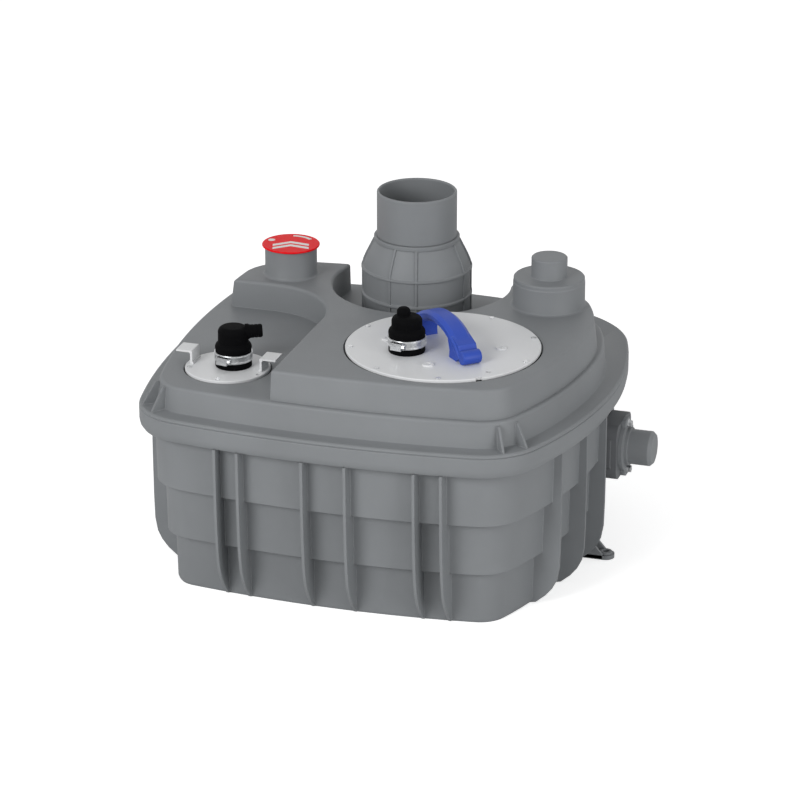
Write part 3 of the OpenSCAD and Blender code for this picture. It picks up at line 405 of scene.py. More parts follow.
# %% Dress the metal parts
stainless = finish_material("stainless", (0.62, 0.63, 0.64), 0.28, highlight_and_wear_colour=(0.8, 0.8, 0.8), drift=0.06, metallic=1.0,
                            grain=2200.0, edge=0.0004)
dress(stainless, "plate_screws", "handle_bolts", "boot_clamp", "clamp_screw", "sensor_screws", "sensor_clamp",
      "sensor_clamp_screw", "housing_screws", "flap_pin", "motor_can", "upper_bearing", "lower_bearing",
      "impeller", "cutter_plate", "cutter_screws", "cutter_head", "cutter_bolt", "shaft", "seal_ring",
      "volute_screws")
iron = finish_material("iron", (0.055, 0.06, 0.068), 0.5, highlight_and_wear_colour=(0.16, 0.165, 0.17), drift=0.12, grain=500.0,
                       bump=0.25)
dress(iron, "motor_head", "oil_housing", "volute", "outlet_elbow")
sheet_steel = finish_material("sheet_steel", (0.2, 0.2, 0.21), 0.38, highlight_and_wear_colour=(0.4, 0.4, 0.4), drift=0.1, metallic=1.0)
dress(sheet_steel, "stator", "rotor_core")
copper = finish_material("copper", (0.55, 0.22, 0.08), 0.35, highlight_and_wear_colour=(0.8, 0.45, 0.25), drift=0.15, metallic=1.0)
dress(copper, "winding")

# %% [markdown]
# ## Building shapes from rings
#
# The real tank, its lid and its fittings are moulded or turned: their walls follow an outline, and their round
# parts share an axis. Sculpting them would leave uneven walls, so each one is built from rings of points: an
# outline at several heights, a profile turned round an axis, or a flat shape with a thickness. All sizes are
# in millimetres.

# %% Write the ring helpers


def skin(rings, loop=False, caps=True):
    """Quads between rings of points that have the same count, closed by a flat face at each end."""
    count, faces = len(rings[0]), []
    for k in range(len(rings) if loop else len(rings) - 1):
        a, b = k * count, (k + 1) % len(rings) * count
        faces += [(a + i, a + (i + 1) % count, b + (i + 1) % count, b + i) for i in range(count)]
    verts = [point for ring in rings for point in ring]
    if caps and not loop:
        faces += [tuple(reversed(range(count))), tuple(range(len(verts) - count, len(verts)))]
    return verts, faces


def turned(profile, place=Matrix(), steps=96, loop=False):
    """A profile of (radius, height) points turned round its axis, which place moves to where it belongs."""
    turn = [2 * math.pi * k / steps for k in range(steps)]
    rings = [[place @ Vector((r * math.cos(t), r * math.sin(t), z)) for t in turn] for r, z in profile]
    return skin(rings, loop, False)


def plate(points, start, thick, axis="z", place=Matrix()):
    """A flat outline given a thickness along an axis."""
    lift = {"x": lambda a, b, t: (t, a, b), "y": lambda a, b, t: (a, t, b), "z": lambda a, b, t: (a, b, t)}[axis]
    return skin([[place @ Vector(lift(a, b, t)) for a, b in points] for t in (start, start + thick)])


print("points of a turned ring:", len(turned([(50, 0), (50, 10)])[0]))

# %% [markdown]
# ## From shapes to pieces
#
# A shape becomes a mesh in metres. Where a wall has to run into another one, or a hole has to be cut, an exact
# boolean works on closed shapes and leaves clean walls. A rib only has to stand in its wall, so it is simply
# laid into the same mesh, which is quicker.

# %% Write the piece helpers


def solid(name, shapes):
    """One object from closed shapes, given in millimetres."""
    bm = bmesh.new()
    for verts, faces in shapes:
        made = [bm.verts.new(Vector(v) * MM) for v in verts]
        for face in faces:
            bm.faces.new([made[i] for i in face])
    bmesh.ops.remove_doubles(bm, verts=bm.verts, dist=1e-7)
    bmesh.ops.recalc_face_normals(bm, faces=bm.faces)
    mesh = bpy.data.meshes.new(name)
    bm.to_mesh(mesh)
    bm.free()
    piece = bpy.data.objects.new(name, mesh)
    bpy.context.scene.collection.objects.link(piece)
    return piece


def combine(piece, operation, shapes):
    """Join or cut closed shapes into a piece, one after the other."""
    tools = [solid("tool", [shape]) for shape in shapes]
    for tool in tools:
        step = piece.modifiers.new("step", "BOOLEAN")
        step.operation, step.solver, step.object = operation, "EXACT", tool
    bpy.context.view_layer.update()
    result = bpy.data.meshes.new_from_object(piece.evaluated_get(bpy.context.evaluated_depsgraph_get()))
    piece.modifiers.clear()
    piece.data = result
    for tool in tools:
        bpy.data.objects.remove(tool)
    return piece


def add(piece, extra):
    """Lay another object's mesh, which is then used up, into a piece's mesh."""
    bm = bmesh.new()
    bm.from_mesh(piece.data)
    bm.from_mesh(extra.data)
    bm.to_mesh(piece.data)
    bm.free()
    bpy.data.objects.remove(extra)


def as_shape(piece):
    """A piece's mesh as a shape in millimetres, which is then used up."""
    shape = [v.co / MM for v in piece.data.vertices], [tuple(p.vertices) for p in piece.data.polygons]
    bpy.data.objects.remove(piece)
    return shape


def fit(piece, material, slot, body, *nodes):
    """Give a piece its finish, its body and the nodes that it stands for."""
    piece.data.materials.clear()
    piece.data.materials.append(material)
    smooth(piece)
    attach(piece, body)
    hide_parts(*nodes)
    print(piece.name, "for", ", ".join(nodes), "points:", len(piece.data.vertices))


print("one millimetre is", MM, "m")

# %% [markdown]
# ## The tank's outline
#
# Seen from above, the rim is a soft rectangle. Its front and sides bow outwards and meet the corners in one
# smooth line. Its left side bows less than its right one, and its rear corners are much rounder than its front
# ones. It could be drawn as a free curve, but arcs that touch each other keep the walls parallel when the
# outline is set inwards. Each quarter has half the width, a corner radius and the rise of its two bows.

# %% Draw the outline
DEPTH = 604
FRONT = dict(half=316, r=90, bow=14, side_bow=38)
REAR = dict(half=316, r=150, bow=16, side_bow=22)
FRONT_LEFT = dict(half=301, r=82, bow=14, side_bow=21)
REAR_LEFT = dict(half=301, r=150, bow=16, side_bow=5)
FLAT_STEPS, CORNER_STEPS = 10, 18


def corner_arcs(half, r, bow, side_bow):
    """Centre of the corner, and the radii of the bowed front and side that meet it without a kink."""
    cx, cy = half - r - side_bow, DEPTH / 2 - r - bow
    return cx, cy, (cx * cx + bow * bow) / (2 * bow), (cy * cy + side_bow * side_bow) / (2 * side_bow)


def quarter(shape, inset):
    """A quarter of the outline from the middle of the front round the corner to the middle of the side."""
    cx, cy, front, side = corner_arcs(**shape)
    r = shape["r"] - inset
    fy, sx = front - (DEPTH / 2 - shape["r"]), (shape["half"] - shape["r"]) - side
    a, b = math.asin(cx / front), math.asin(cy / side)
    turn = math.pi / 2 - a - b
    points = [((front + r) * math.sin(a * k / FLAT_STEPS), fy - (front + r) * math.cos(a * k / FLAT_STEPS))
              for k in range(FLAT_STEPS + 1)]
    points += [(cx + r * math.sin(a + turn * k / CORNER_STEPS), -cy - r * math.cos(a + turn * k / CORNER_STEPS))
               for k in range(1, CORNER_STEPS + 1)]
    points += [(sx + (side + r) * math.cos(b * k / FLAT_STEPS - b), (side + r) * math.sin(b * k / FLAT_STEPS - b))
               for k in range(1, FLAT_STEPS + 1)]
    return points


def outline(inset, left=1.0, rear=1.0):
    """The whole outline set inwards, with shares that draw in its left side and its rear."""
    points = quarter(FRONT, inset)
    points += [(x, -y) for x, y in quarter(REAR, inset)[-2::-1]]
    points += [(-x, -y) for x, y in quarter(REAR_LEFT, inset)[1:]]
    points += [(-x, y) for x, y in quarter(FRONT_LEFT, inset)[-2:0:-1]]
    return [(x * (left if x < 0 else 1), y * (rear if y > 0 else 1)) for x, y in points]


def reach(points, at, axis):
    """How far the outline goes along one axis where the other has a value: lowest and highest."""
    other, found = 1 - axis, []
    for p, q in zip(points, points[1:] + points[:1]):
        if (p[other] - at) * (q[other] - at) <= 0 and p[other] != q[other]:
            found.append(p[axis] + (q[axis] - p[axis]) * (at - p[other]) / (q[other] - p[other]))
    return min(found), max(found)


print("rim:", [round(v) for v in reach(outline(0), 0, 0)], [round(v) for v in reach(outline(0), 0, 1)])

# %% [markdown]
# ## The walls in section
#
# The tank narrows downwards in three tiers, so that it stacks and slips out of its mould. The walls are drawn
# as a section: each pair is a height and how far the wall lies inside the rim's outline. Stacked boxes would
# give tiers too, but not the lean of each one, which is the draft that a mould needs, nor the rounded foot.
# The rim itself is a straight band on top.

# %% Draw the section
SEAM, BAND, WALL = 252, 221, 4.5
TOP_TIER, MID_TIER, LOW_TIER = 21, 33.5, 46
DRAFT = 1.5
STEP = (BAND / 3, BAND * 2 / 3)
shell_wall = [
    (0, LOW_TIER + 4.5), (2, LOW_TIER + 3), (6, LOW_TIER + DRAFT), (STEP[0] - 2, LOW_TIER),
    (STEP[0] - 0.6, LOW_TIER - 0.6), (STEP[0] + 1, MID_TIER + DRAFT), (STEP[1] - 2, MID_TIER),
    (STEP[1] - 0.6, MID_TIER - 0.6), (STEP[1] + 1, TOP_TIER + DRAFT), (BAND, TOP_TIER),
]
rim_band = [(BAND + 0.6, 12), (BAND + 3, 4.5), (BAND + 8, 1.2), (BAND + 14, 0), (SEAM - 1.2, 0), (SEAM, 1.2)]
shell_out = shell_wall + rim_band
shell_in = [
    (5, LOW_TIER + DRAFT + WALL + 3), (9, LOW_TIER + DRAFT + WALL), (STEP[0] - 3, LOW_TIER + WALL),
    (STEP[0] + 5.5, MID_TIER + DRAFT + WALL), (STEP[1] - 3, MID_TIER + WALL),
    (STEP[1] + 5.5, TOP_TIER + DRAFT + WALL), (BAND + 5.5, TOP_TIER + WALL), (BAND + 12.5, 6.5), (SEAM + 1, 5.5),
]


def loft(levels):
    """A body through levels of (height, inset, left share, rear share)."""
    return skin([[(x, y, level[0]) for x, y in outline(*level[1:])] for level in levels])


print("levels of the wall, outside and inside:", len(shell_out), len(shell_in))

# %% [markdown]
# ## The shell and its port
#
# The outer body gets a square pad for the discharge, and then the inner body and the port's bore are cut out
# of it. A boolean is the right tool here, because the pad and the bore have to meet the stepped wall exactly.

# %% Build the shell
PORT_Y, PORT_Z, PORT_R = 62, 151, 21.2
BORE_FROM, BORE_TO = 200, 400
PAD, PAD_ROUND, PAD_X, PAD_DEEP = 86, 12, 289, 34


def rounded(wide, high, r, y, z, steps=8):
    """A rectangle with round corners about a point."""
    points = []
    for k, (sy, sz) in enumerate(((1, 1), (-1, 1), (-1, -1), (1, -1))):
        for j in range(steps + 1):
            t = math.pi / 2 * (k + j / steps)
            points.append((y + sy * (wide / 2 - r) + r * math.cos(t), z + sz * (high / 2 - r) + r * math.sin(t)))
    return points


port_axis = Matrix.Translation((0, PORT_Y, PORT_Z)) @ Matrix.Rotation(math.pi / 2, 4, "Y")
port_bore = turned([(0, BORE_FROM), (PORT_R, BORE_FROM), (PORT_R, BORE_TO), (0, BORE_TO)], port_axis, 48)
shell = solid("tank_shell", [loft(shell_out)])
combine(shell, "UNION", [plate(rounded(PAD, PAD, PAD_ROUND, PORT_Y, PORT_Z), PAD_X - PAD_DEEP, PAD_DEEP, "x")])
combine(shell, "DIFFERENCE", [loft(shell_in), port_bore])
print("shell points:", len(shell.data.vertices))

# %% [markdown]
# ## Ribs and fins
#
# Thin ribs run down the front and the back, and taller fins down the sides, so that the thin walls don't bulge.
# One rib copied along the wall would miss it where it bows. So each one follows the wall behind it: its inner
# edge stays inside the wall's thickness, and its outer edge is a curve of distances from the rim.

# %% Add the ribs
RIB = [(1.5, 224), (3, 157), (5.5, 110), (9, 75), (14, 50), (21, 34), (30, 20), (39, 9), (47, 1)]
FIN = [(11, 224), (11, 150), (11.5, 90), (12.5, 55), (16, 36), (22, 24), (31, 13), (44, 2)]
REAR_FIN = [(20, 224), (25, 150), (31, 90), (34, 55), (38, 36), (42, 24), (46, 2)]
RIB_THICK, RIB_ROOT, LEFT_SHIFT = 4, 2.4, -9
RIB_X = (-149, -116.5, -26, 33, 125, 161)
RIGHT_Y, RIGHT_REAR_Y, LEFT_Y = (-152, -78, 3), (112, 164), (-152, -78, 3, 78, 152)


def rib(axis, at, high, profile, shift=0):
    """A rib on the low or high side of one axis, at a place along the other."""
    rim = reach(outline(0), at, axis)[high]
    edge = [(rim + (-1 if high else 1) * (distance + shift), z) for distance, z in profile]
    root = [(reach(outline(inset + RIB_ROOT), at, axis)[high], height) for height, inset in shell_wall]
    return plate(edge + root, at - RIB_THICK / 2, RIB_THICK, "xy"[1 - axis])


ribs = [rib(1, x, high, RIB) for x in RIB_X for high in (0, 1)]
ribs += [rib(0, y, 1, FIN) for y in RIGHT_Y] + [rib(0, y, 1, REAR_FIN) for y in RIGHT_REAR_Y]
ribs += [rib(0, y, 0, FIN, LEFT_SHIFT) for y in LEFT_Y]
add(shell, solid("ribs", ribs))
print("ribs and fins:", len(ribs))

# %% [markdown]
# ## The feet
#
# A foot at each side holds the station down with one bolt. It is a tongue with a hole, a collar round the hole
# and two webs that carry the load up into the wall. It could be one complicated outline. As four plain shapes
# that stand in each other it is easier to read, and the left one mirrors the right one.

# %% Add the feet
FOOT_X, FOOT_Y, FOOT_IN, FOOT_WIDE, FOOT_THICK, FOOT_HOLE = 302, 24, 256, 24, 6, 8
foot_low, foot_high = FOOT_Y - FOOT_WIDE / 2, FOOT_Y + FOOT_WIDE / 2
tongue_line = [(FOOT_IN, foot_low), (FOOT_X, foot_low), (FOOT_X, foot_high), (FOOT_IN, foot_high)]
hole_profile = [(0, -2), (FOOT_HOLE, -2), (FOOT_HOLE, 12), (0, 12)]
collar = [(4.5, 0), (12, 0), (12, FOOT_THICK), (8.5, FOOT_THICK), (8.5, 9), (4.5, 9)]
foot_web = [(262, 1), (FOOT_X - 2, 1), (FOOT_X - 2, 7), (FOOT_X - 22, 30), (FOOT_X - 34, 40), (262, 44)]
for side in (1, -1):
    flip = Matrix.Diagonal((side, 1, 1, 1))
    hole = Matrix.Translation((side * FOOT_X, FOOT_Y, 0))
    tongue = solid("tongue", [plate(tongue_line, 0, FOOT_THICK, "z", flip)])
    add(shell, combine(tongue, "DIFFERENCE", [turned(hole_profile, hole, 48)]))
    webs = [plate(foot_web, FOOT_Y + y, 4, "y", flip) for y in (-12, 8)]
    add(shell, solid("foot", webs + [turned(collar, hole, 48, loop=True)]))
fit(shell, tank_grey, "tank_grey", "tank", "tank_base")

# %% [markdown]
# ## The lines of the lid
#
# The lid has two decks. The upper one is cut back by a low area at the left, whose corner is a wide scoop, and
# by a round notch at the back where the inlet bell stands. Both lines are arcs with straight ends that run out
# past the tank, so they can be grown by any amount for a wall or a soft edge.

# %% Draw the scoop and the notch
FLANGE, LOW, TOP, LEDGE = 257, 293, 333, 23
LOW_SHARE, UP_SHARE = (0.99, 0.727), (0.933, 0.65)
WALL_X, BLOCK_Y, SCOOP_R, FAR = -79, 54, 108, 420
NOTCH_X, NOTCH_Y, NOTCH_R, NOTCH_LEFT, NOTCH_RIGHT = 8, 120, 123, 119, 120


def scoop_line(grow):
    """The low area at the left, grown outwards."""
    cx, cy, steps = WALL_X - SCOOP_R, BLOCK_Y - SCOOP_R, 24
    turn = [math.pi / 2 * k / steps for k in range(steps + 1)]
    arc = [(cx + (SCOOP_R + grow) * math.cos(t), cy + (SCOOP_R + grow) * math.sin(t)) for t in turn]
    return [(-FAR, -FAR), (WALL_X + grow, -FAR)] + arc + [(-FAR, BLOCK_Y + grow)]


def notch_line(grow):
    """The round notch with straight sides that run out at the back, grown outwards."""
    r, left, right, steps = NOTCH_R + grow, NOTCH_LEFT + grow, NOTCH_RIGHT + grow, 48
    start, end = math.pi - math.acos(left / r), 2 * math.pi + math.acos(right / r)
    turn = [start + (end - start) * k / steps for k in range(steps + 1)]
    arc = [(NOTCH_X + r * math.cos(t), NOTCH_Y + r * math.sin(t)) for t in turn]
    return [(NOTCH_X - left, FAR)] + arc + [(NOTCH_X + right, FAR)]


print("scoop and notch points:", len(scoop_line(0)), len(notch_line(0)))

# %% [markdown]
# ## The upper deck
#
# A moulded step is never sharp: the mould's edge is round. A bevel modifier would round every edge alike, so
# the roll is built into the shapes. The deck's own wall leans in at its top, and each cutter flares out there.
# A smaller body of the same kind, with cutters grown by the wall's thickness, makes the hollow under the deck.

# %% Build the upper deck and its hollow
ROLL, CLEAR = 4.5, 30


def rolled(top, inset, steps=5):
    """Levels of a rounded edge: heights up to the top, and how far the wall has leant in."""
    turn = [math.pi / 2 * k / steps for k in range(steps + 1)]
    return [(top - ROLL + ROLL * math.sin(t), inset + ROLL * (1 - math.cos(t))) for t in turn]


def cutter(line, low, grow=0.0, edge=True):
    """A tall cutter whose walls roll outwards just under the upper deck."""
    levels = [(low, grow)] + (rolled(TOP, grow) if edge else []) + [(TOP + CLEAR, grow + (ROLL if edge else 0))]
    return skin([[(x, y, z) for x, y in line(g)] for z, g in levels])


UP_FOOT, UP_INSET = 33, 38
upper_levels = [(LOW - 1, UP_FOOT)] + rolled(TOP, UP_INSET)
upper = solid("upper_deck", [loft([(*level, *UP_SHARE) for level in upper_levels])])
combine(upper, "DIFFERENCE", [cutter(scoop_line, LOW - 3), cutter(notch_line, LOW - 3)])
hollow_levels = [(LOW - WALL - 1, UP_FOOT), (TOP - 6, UP_INSET), (TOP - WALL, UP_INSET + 2)]
hollow = solid("upper_hollow", [loft([(z, inset + WALL, *UP_SHARE) for z, inset in hollow_levels])])
combine(hollow, "DIFFERENCE", [cutter(line, LOW - CLEAR, WALL, False) for line in (scoop_line, notch_line)])
print("upper deck points:", len(upper.data.vertices), "hollow points:", len(hollow.data.vertices))

# %% [markdown]
# ## The lid
#
# The lower body runs from the seam over a flat ledge to the low deck. The upper deck is joined to it, with a
# thick ring under each plate. Then the hollows are cut from below, and the seats and the openings for the pump,
# the sensor and the bell from above. Joining first and cutting last keeps each opening clean, because no wall
# is added that could close it again.

# %% Build the lid
PUMP, SENSOR, VENT, SPARE, BELL = (110, -113), (-171, -173), (-177, 104), (198, 90), (0, 122)
PUMP_RING, PUMP_SEAT, PUMP_HOLE, PUMP_DEEP = 137.5, 132, 118, 3
SENSOR_RING, SENSOR_SEAT, SENSOR_HOLE, SENSOR_DEEP = 63, 59, 45, 2.5
BELL_HOLE = 57
UNDER_ALL, OVER = 250, 20


def drum(plan, low, high, r):
    """A closed upright cylinder over a point of the plan."""
    return turned([(0, low), (r, low), (r, high), (0, high)], Matrix.Translation((*plan, 0)))


ledge = [(FLANGE + 0.4, LEDGE - 2.5), (FLANGE + 1.2, LEDGE - 0.8), (FLANGE + 2.6, LEDGE)]
lid_levels = [(SEAM, 1.2), (SEAM + 1.2, 0), (SEAM + 3.6, 0.4), (FLANGE, 2.6)]
lid_levels += [(*level, *LOW_SHARE) for level in ledge + rolled(LOW, LEDGE + 2.5)]
under = [(SEAM - 1, LEDGE), (LOW - 6, LEDGE + 2), (LOW - WALL, LEDGE + 4)]
lid = solid("tank_lid", [loft(lid_levels)])
combine(lid, "UNION", [
    as_shape(upper), drum(PUMP, TOP - 13, TOP - 2, PUMP_RING), drum(SENSOR, LOW - 10, LOW - 2, SENSOR_RING),
])
combine(lid, "DIFFERENCE", [
    loft([(z, inset + WALL, *LOW_SHARE) for z, inset in under]), as_shape(hollow),
    drum(PUMP, UNDER_ALL, TOP + OVER, PUMP_HOLE), drum(PUMP, TOP - PUMP_DEEP, TOP + OVER, PUMP_SEAT),
    drum(SENSOR, UNDER_ALL, LOW + OVER, SENSOR_HOLE), drum(SENSOR, LOW - SENSOR_DEEP, LOW + OVER, SENSOR_SEAT),
    drum(BELL, UNDER_ALL, LOW + OVER, BELL_HOLE),
])
print("lid points:", len(lid.data.vertices))

# %% [markdown]
# ## Webs and spigots
#
# Two webs stiffen the ledge at each front corner. They stand on lines from the corner's centre, so they are
# turned about it. The vent spigot is an open tube with a fillet at its foot, and the spare spigot is two closed
# steps, which an installer saws open when a further pipe comes in. Stacked cylinders would leave hard joints,
# so each spigot is one turned profile.

# %% Add the webs and the spigots
WEB_TURNS, WEB_THICK = (36, 60), 3.2
VENT_R, VENT_BORE, SPIGOT_TOP = 36, 32.5, 374
SPARE_R, SPARE_TIP_R, SPARE_TOP = 49, 24.5, 402
web_line = [(-27, FLANGE - 1), (-4, FLANGE - 1), (-4, FLANGE + 1), (-22, LOW - 5), (-27, LOW - 5)]
webs = []
for side, shape in ((1, FRONT), (-1, FRONT_LEFT)):
    for turn in WEB_TURNS:
        cx, cy = corner_arcs(**shape)[:2]
        place = Matrix.Diagonal((side, 1, 1, 1)) @ Matrix.Translation((cx, -cy, 0))
        place = place @ Matrix.Rotation(math.radians(turn - 90), 4, "Z")
        webs.append(plate([(shape["r"] + d, z) for d, z in web_line], -WEB_THICK / 2, WEB_THICK, "y", place))
vent_profile = [(VENT_BORE, TOP - 1), (VENT_R + 3, TOP - 1), (VENT_R + 3, TOP - 0.5), (VENT_R + 1, TOP + 1),
                (VENT_R, TOP + 3), (VENT_R, SPIGOT_TOP), (VENT_BORE, SPIGOT_TOP)]
spare_profile = [(0, TOP - 1), (SPARE_R + 3, TOP - 1), (SPARE_R + 3, TOP), (SPARE_R + 1, TOP + 1),
                 (SPARE_R, TOP + 3), (SPARE_R, 367), (SPARE_R - 0.6, 368), (SPARE_R - 0.6, 372.5),
                 (SPARE_R - 2, SPIGOT_TOP), (SPARE_TIP_R + 2, SPIGOT_TOP), (SPARE_TIP_R + 0.5, 374.6),
                 (SPARE_TIP_R, 376),
                 (SPARE_TIP_R, SPARE_TOP - 1.5), (SPARE_TIP_R - 1.5, SPARE_TOP), (0, SPARE_TOP)]
add(lid, solid("webs", webs + [turned(vent_profile, Matrix.Translation((*VENT, 0)), loop=True),
                               turned(spare_profile, Matrix.Translation((*SPARE, 0)))]))
fit(lid, tank_grey, "tank_grey", "tank", "tank_cover")

# %% [markdown]
# ## The handle
#
# The blue handle is a wide strap bent into a low arch, with a thick grip bar at each end. A bent box would pinch
# at the ends. So the strap's section, with its bevelled sides, is carried along an arc, which gives an even
# bend. The feet are flat shapes with a thickness, and the bars are turned.

# %% Build the handle
PLATE_TOP, ARCH, HALF_SPAN, STRAP_DEEP, HANDLE_TURN = 336, 46, 84, 14, -46
BAR_X, BAR_Z, BAR_LONG = 77, 9.6, 27
ARCH_STEPS, GRIP_WIDE = 40, 26
arch_r = (ARCH * ARCH + HALF_SPAN * HALF_SPAN) / (2 * ARCH)
half_turn = math.acos((arch_r - ARCH + 1.5) / (arch_r - STRAP_DEEP))
strap = [(-STRAP_DEEP, -11), (-10, -14.5), (-4, -14.5), (0, -9), (0, 9), (-4, 14.5), (-10, 14.5),
         (-STRAP_DEEP, 11)]
on_plate = Matrix.Translation((*PUMP, PLATE_TOP)) @ Matrix.Rotation(math.radians(HANDLE_TURN), 4, "Z")
arch_turns = [half_turn * (2 * k / ARCH_STEPS - 1) for k in range(ARCH_STEPS + 1)]
arch = [[on_plate @ Vector(((arch_r + d) * math.sin(t), w, ARCH - arch_r + (arch_r + d) * math.cos(t)))
         for d, w in strap] for t in arch_turns]
grip_foot = [(38, 24), (43, 10), (42, 0), (62, 0), (66, 5), (76, 8), (68, 24), (50, 31)]
bar_profile = [(0, 0), (8, 0), (9, 0.6), (9.4, 2), (9.4, BAR_LONG - 2), (9, BAR_LONG - 0.6), (8, BAR_LONG),
               (0, BAR_LONG)]
grip = [skin(arch)]
for side in (1, -1):
    place = on_plate @ Matrix.Diagonal((side, 1, 1, 1))
    bar = place @ Matrix.Translation((BAR_X, -BAR_LONG / 2, BAR_Z)) @ Matrix.Rotation(-math.pi / 2, 4, "X")
    grip += [plate(grip_foot, -GRIP_WIDE / 2, GRIP_WIDE, "y", place), turned(bar_profile, bar, 48)]
fit(solid("lift_handle", grip), handle_blue, "handle_blue", "pump", "handle")

# %% [markdown]
# ## The rubber boots
#
# Each rubber boot sits over its sleeve: a straight lip for the steel clamp, a bulge above it and a rounded top.
# Stretched spheres and cylinders would show their joints. A boot is round, so one turned profile says it all.
# The pump's boot has a knob on top, and the sensor's boot has a ribbed nozzle at its side.

# %% Build the boots
SENSOR_TOP = 296
BOOT_R, BULGE_R, NECK_R, SHOULDER = 24, 8, 20.4, 7.5
PUMP_BOOT_AT, PUMP_BOOT_HIGH, KNOB_AT = (-40, -33), 49, (-5, 2, 47)
LEVEL_BOOT_AT, LEVEL_BOOT_HIGH = (6, 6), 55
NOZZLE_Z, NOZZLE_TURN, NOZZLE_TILT = 46, 19, 86


def curve(r, z, radius, start, end, steps=7):
    """Profile points on an arc about (r, z), between two angles in degrees."""
    turn = [math.radians(start + (end - start) * k / steps) for k in range(steps + 1)]
    return [(r + radius * math.cos(t), z + radius * math.sin(t)) for t in turn]


def boot(height):
    """A boot's profile: lip, bulge, neck and rounded shoulder."""
    lip = [(0, 0), (BOOT_R, 0), (BOOT_R + 0.4, 0.8), (BOOT_R + 0.4, 8), (BOOT_R, 9), (BOOT_R, 18.6)]
    neck = [(NECK_R, 34.5), (NECK_R, height - 8)]
    return lip + curve(16.6, 26, BULGE_R, -20, 62, 8) + neck + \
        curve(NECK_R - SHOULDER, height - SHOULDER, SHOULDER, 0, 90) + [(0, height)]


def on_top(plan, offset, height):
    """A place over a point of the plan, moved by an offset."""
    return Matrix.Translation((plan[0] + offset[0], plan[1] + offset[1], height))


pump_boot = on_top(PUMP, PUMP_BOOT_AT, PLATE_TOP)
knob = pump_boot @ Matrix.Translation(KNOB_AT)
knob_profile = [(0, 0), (9.4, 0), (9.2, 5)] + curve(2.6, 6, 6.5, 0, 90) + [(0, 12.5)]
fit(solid("pump_boot", [turned(boot(PUMP_BOOT_HIGH), pump_boot), turned(knob_profile, knob, 64)]),
    rubber_black, "rubber_black", "pump", "cable_boot")

level_boot = on_top(SENSOR, LEVEL_BOOT_AT, SENSOR_TOP)
nozzle = level_boot @ Matrix.Translation((0, 0, NOZZLE_Z)) @ Matrix.Rotation(math.radians(NOZZLE_TURN), 4, "Z")
nozzle = nozzle @ Matrix.Rotation(math.radians(NOZZLE_TILT), 4, "Y")
nozzle_profile = [(0, 14), (10.5, 16), (10.5, 20), (9, 23), (9, 27), (8.3, 28), (9, 29), (9, 32), (8.3, 33),
                  (9, 34), (9, 37), (7.5, 39), (5, 39), (5, 33), (0, 33)]
fit(solid("level_boot", [turned(boot(LEVEL_BOOT_HIGH), level_boot), turned(nozzle_profile, nozzle, 64)]),
    rubber_black, "rubber_black", "sensor", "sensor_boot")

# %% [markdown]
# ## The sensor's clips
#
# Two bent strips of white plastic stand on the sensor's plate and reach outwards, as finger grips and cable
# hooks. Bending a flat strip would thin its corners. Seen from the side, a strip is only an outline, so it is
# drawn as one and given a width, and the second strip is the first one mirrored.

# %% Build the clips
CLIP_START, CLIP_WIDE = -8, 28
clip = [(46, 0), (50.5, 0), (50.5, 14), (52, 16), (70, 16), (70, 18.5), (48.5, 18.5), (47.5, 17.5), (47.5, 3),
        (46, 3)]
on_sensor = Matrix.Translation((*SENSOR, SENSOR_TOP))
clips = [plate(clip, CLIP_START, CLIP_WIDE, "y", on_sensor @ Matrix.Diagonal((side, 1, 1, 1))) for side in (1, -1)]
fit(solid("level_clips", clips), plate_white, "plate_white", "sensor", "sensor_clips")

# %% [markdown]
# ## The print on the vent's cap
#
# The red cap carries a white print. Here it is a plain air sign: chevrons that point up, a dot and an arc. A
# print is a film of ink. A mask in the material would blur at this size, so each shape is a thin flat plate, a
# tenth of a millimetre thick, laid on the cap and turned to face the front of the station.

# %% Draw the print as thin plates
CAP_LOW, CAP_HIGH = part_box("vent_cap")
CAP_CENTRE = Vector(((CAP_LOW.x + CAP_HIGH.x) / 2, (CAP_LOW.y + CAP_HIGH.y) / 2, CAP_HIGH.z))
INK = 0.1


def chevron(half_width, tip, rise, thick):
    """Outline of an upward chevron: half its width, its tip's height, how far it rises, its thickness."""
    return [(-half_width, tip - rise - thick), (0, tip - thick), (half_width, tip - rise - thick),
            (half_width, tip - rise), (0, tip), (-half_width, tip - rise)]


def arc_band(radius, wide, start, end, steps=18):
    """Outline of a curved band about the cap's centre, between two angles in degrees."""
    return curve(0, 0, radius + wide / 2, start, end, steps) + curve(0, 0, radius - wide / 2, end, start, steps)


sign = [chevron(25, 8 - 13 * k, 12, 8) for k in range(2)]
sign += [curve(-27, 14, 5, 0, 345, 23), arc_band(31, 5, 30, 85)]
print_white = finish_material("print_white", (0.86, 0.86, 0.84), 0.4, drift=0.02)
on_cap = Matrix.Translation(CAP_CENTRE / MM) @ Matrix.Rotation(AZIMUTH, 4, "Z")
vent_print = solid("vent_print", [plate(line, 0, INK, "z", on_cap) for line in sign])
vent_print.data.materials.append(print_white)
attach(vent_print, "tank")
print("print plates:", len(sign))

# %% [markdown]
# ## The floor
#
# A product picture stands on pure white. A floor that is only painted white would still turn grey away from the
# lamps, so it also glows a little for the camera alone. The object's shadow stays on it, and no extra light
# reaches the object.

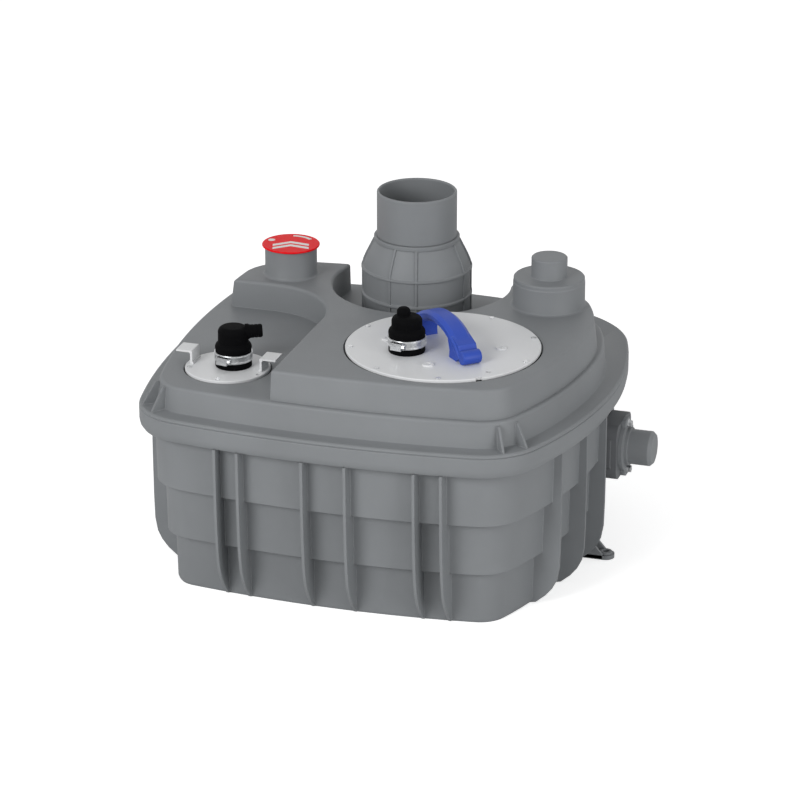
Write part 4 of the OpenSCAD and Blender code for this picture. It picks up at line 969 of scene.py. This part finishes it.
# %% Lay the floor
bpy.context.scene.view_settings.view_transform = "Standard"
FLOOR_HALF, FLOOR_LIFT = 15.0, 0.62
corners = [(-FLOOR_HALF, -FLOOR_HALF, 0), (FLOOR_HALF, -FLOOR_HALF, 0), (FLOOR_HALF, FLOOR_HALF, 0),
           (-FLOOR_HALF, FLOOR_HALF, 0)]
floor_mesh = bpy.data.meshes.new("studio_floor")
floor_mesh.from_pydata(corners, [], [(0, 1, 2, 3)])
floor = bpy.data.objects.new("studio_floor", floor_mesh)
bpy.context.scene.collection.objects.link(floor)
floor_paint = bpy.data.materials.new("studio_floor")
floor_paint.use_nodes = True
floor_shader = floor_paint.node_tree.nodes["Principled BSDF"]
floor_shader.inputs["Base Color"].default_value = (0.93, 0.93, 0.93, 1)
floor_shader.inputs["Roughness"].default_value = 0.9
floor_shader.inputs["Specular IOR Level"].default_value = 0.1
floor_mesh.materials.append(floor_paint)

fn, fl = floor_paint.node_tree.nodes, floor_paint.node_tree.links
ray, unseen, glow, glow_or_none, lit_floor = (fn.new(kind) for kind in (
    "ShaderNodeLightPath", "ShaderNodeEmission", "ShaderNodeEmission", "ShaderNodeMixShader",
    "ShaderNodeAddShader"))
unseen.inputs["Strength"].default_value = 0.0
glow.inputs["Strength"].default_value = FLOOR_LIFT
fl.new(ray.outputs["Is Camera Ray"], glow_or_none.inputs["Fac"])
fl.new(unseen.outputs[0], glow_or_none.inputs[1])
fl.new(glow.outputs[0], glow_or_none.inputs[2])
fl.new(floor_shader.outputs[0], lit_floor.inputs[0])
fl.new(glow_or_none.outputs[0], lit_floor.inputs[1])
fl.new(lit_floor.outputs[0], fn["Material Output"].inputs["Surface"])
print("floor of", 2 * FLOOR_HALF, "m")

# %% [markdown]
# ## The surround
#
# A photographer's white surround is bright behind the object, and only a part of its light falls on it. Here it
# shows white to the camera and in reflections, and lights the object softly. One background can't do both, so
# the light path chooses between two.

# %% Set up the surround
SOFT_LIGHT, SEEN_WHITE = 0.37, 1.0
world = bpy.data.worlds.new("studio")
bpy.context.scene.world = world
world.use_nodes = True
wn, wl = world.node_tree.nodes, world.node_tree.links
wn.clear()
lit, seen, path, choose, out = (wn.new(kind) for kind in (
    "ShaderNodeBackground", "ShaderNodeBackground", "ShaderNodeLightPath", "ShaderNodeMixShader",
    "ShaderNodeOutputWorld"))
for background, strength in ((lit, SOFT_LIGHT), (seen, SEEN_WHITE)):
    background.inputs["Color"].default_value = (1, 1, 1, 1)
    background.inputs["Strength"].default_value = strength
looked_at = maths(world.node_tree, "MAXIMUM", path.outputs["Is Camera Ray"], path.outputs["Is Glossy Ray"])
wl.new(looked_at, choose.inputs["Fac"])
wl.new(lit.outputs[0], choose.inputs[1])
wl.new(seen.outputs[0], choose.inputs[2])
wl.new(choose.outputs[0], out.inputs["Surface"])
print("soft light:", SOFT_LIGHT)

# %% [markdown]
# ## The lamps
#
# A large lamp at the front left gives the tank's front its lighter tone. A weaker one at the front right keeps
# the right side readable, and a faint one from above lifts the deck. A sun or small lamps would draw hard
# shadows. A product picture is lit by large soft boxes, so these are wide round area lamps.

# %% Place the lamps


def soft_lamp(name, place, aim, size, watts):
    """A round area lamp that looks at a point."""
    data = bpy.data.lights.new(name, "AREA")
    data.shape, data.size, data.energy = "DISK", size, watts
    lamp = bpy.data.objects.new(name, data)
    lamp.location = place
    lamp.rotation_mode = "QUATERNION"
    lamp.rotation_quaternion = (Vector(aim) - Vector(place)).to_track_quat("-Z", "Y")
    bpy.context.scene.collection.objects.link(lamp)


soft_lamp("front_left_lamp", (-1.3, -3.2, 1.9), (0, 0, 0.2), 1.8, 66)
soft_lamp("right_lamp", (3.0, -1.6, 0.9), (0, 0, 0.2), 1.8, 34)
soft_lamp("top_lamp", (-0.6, 0.6, 3.2), (0, 0, 0.3), 2.2, 5)
print("lamps:", len(bpy.data.lights))
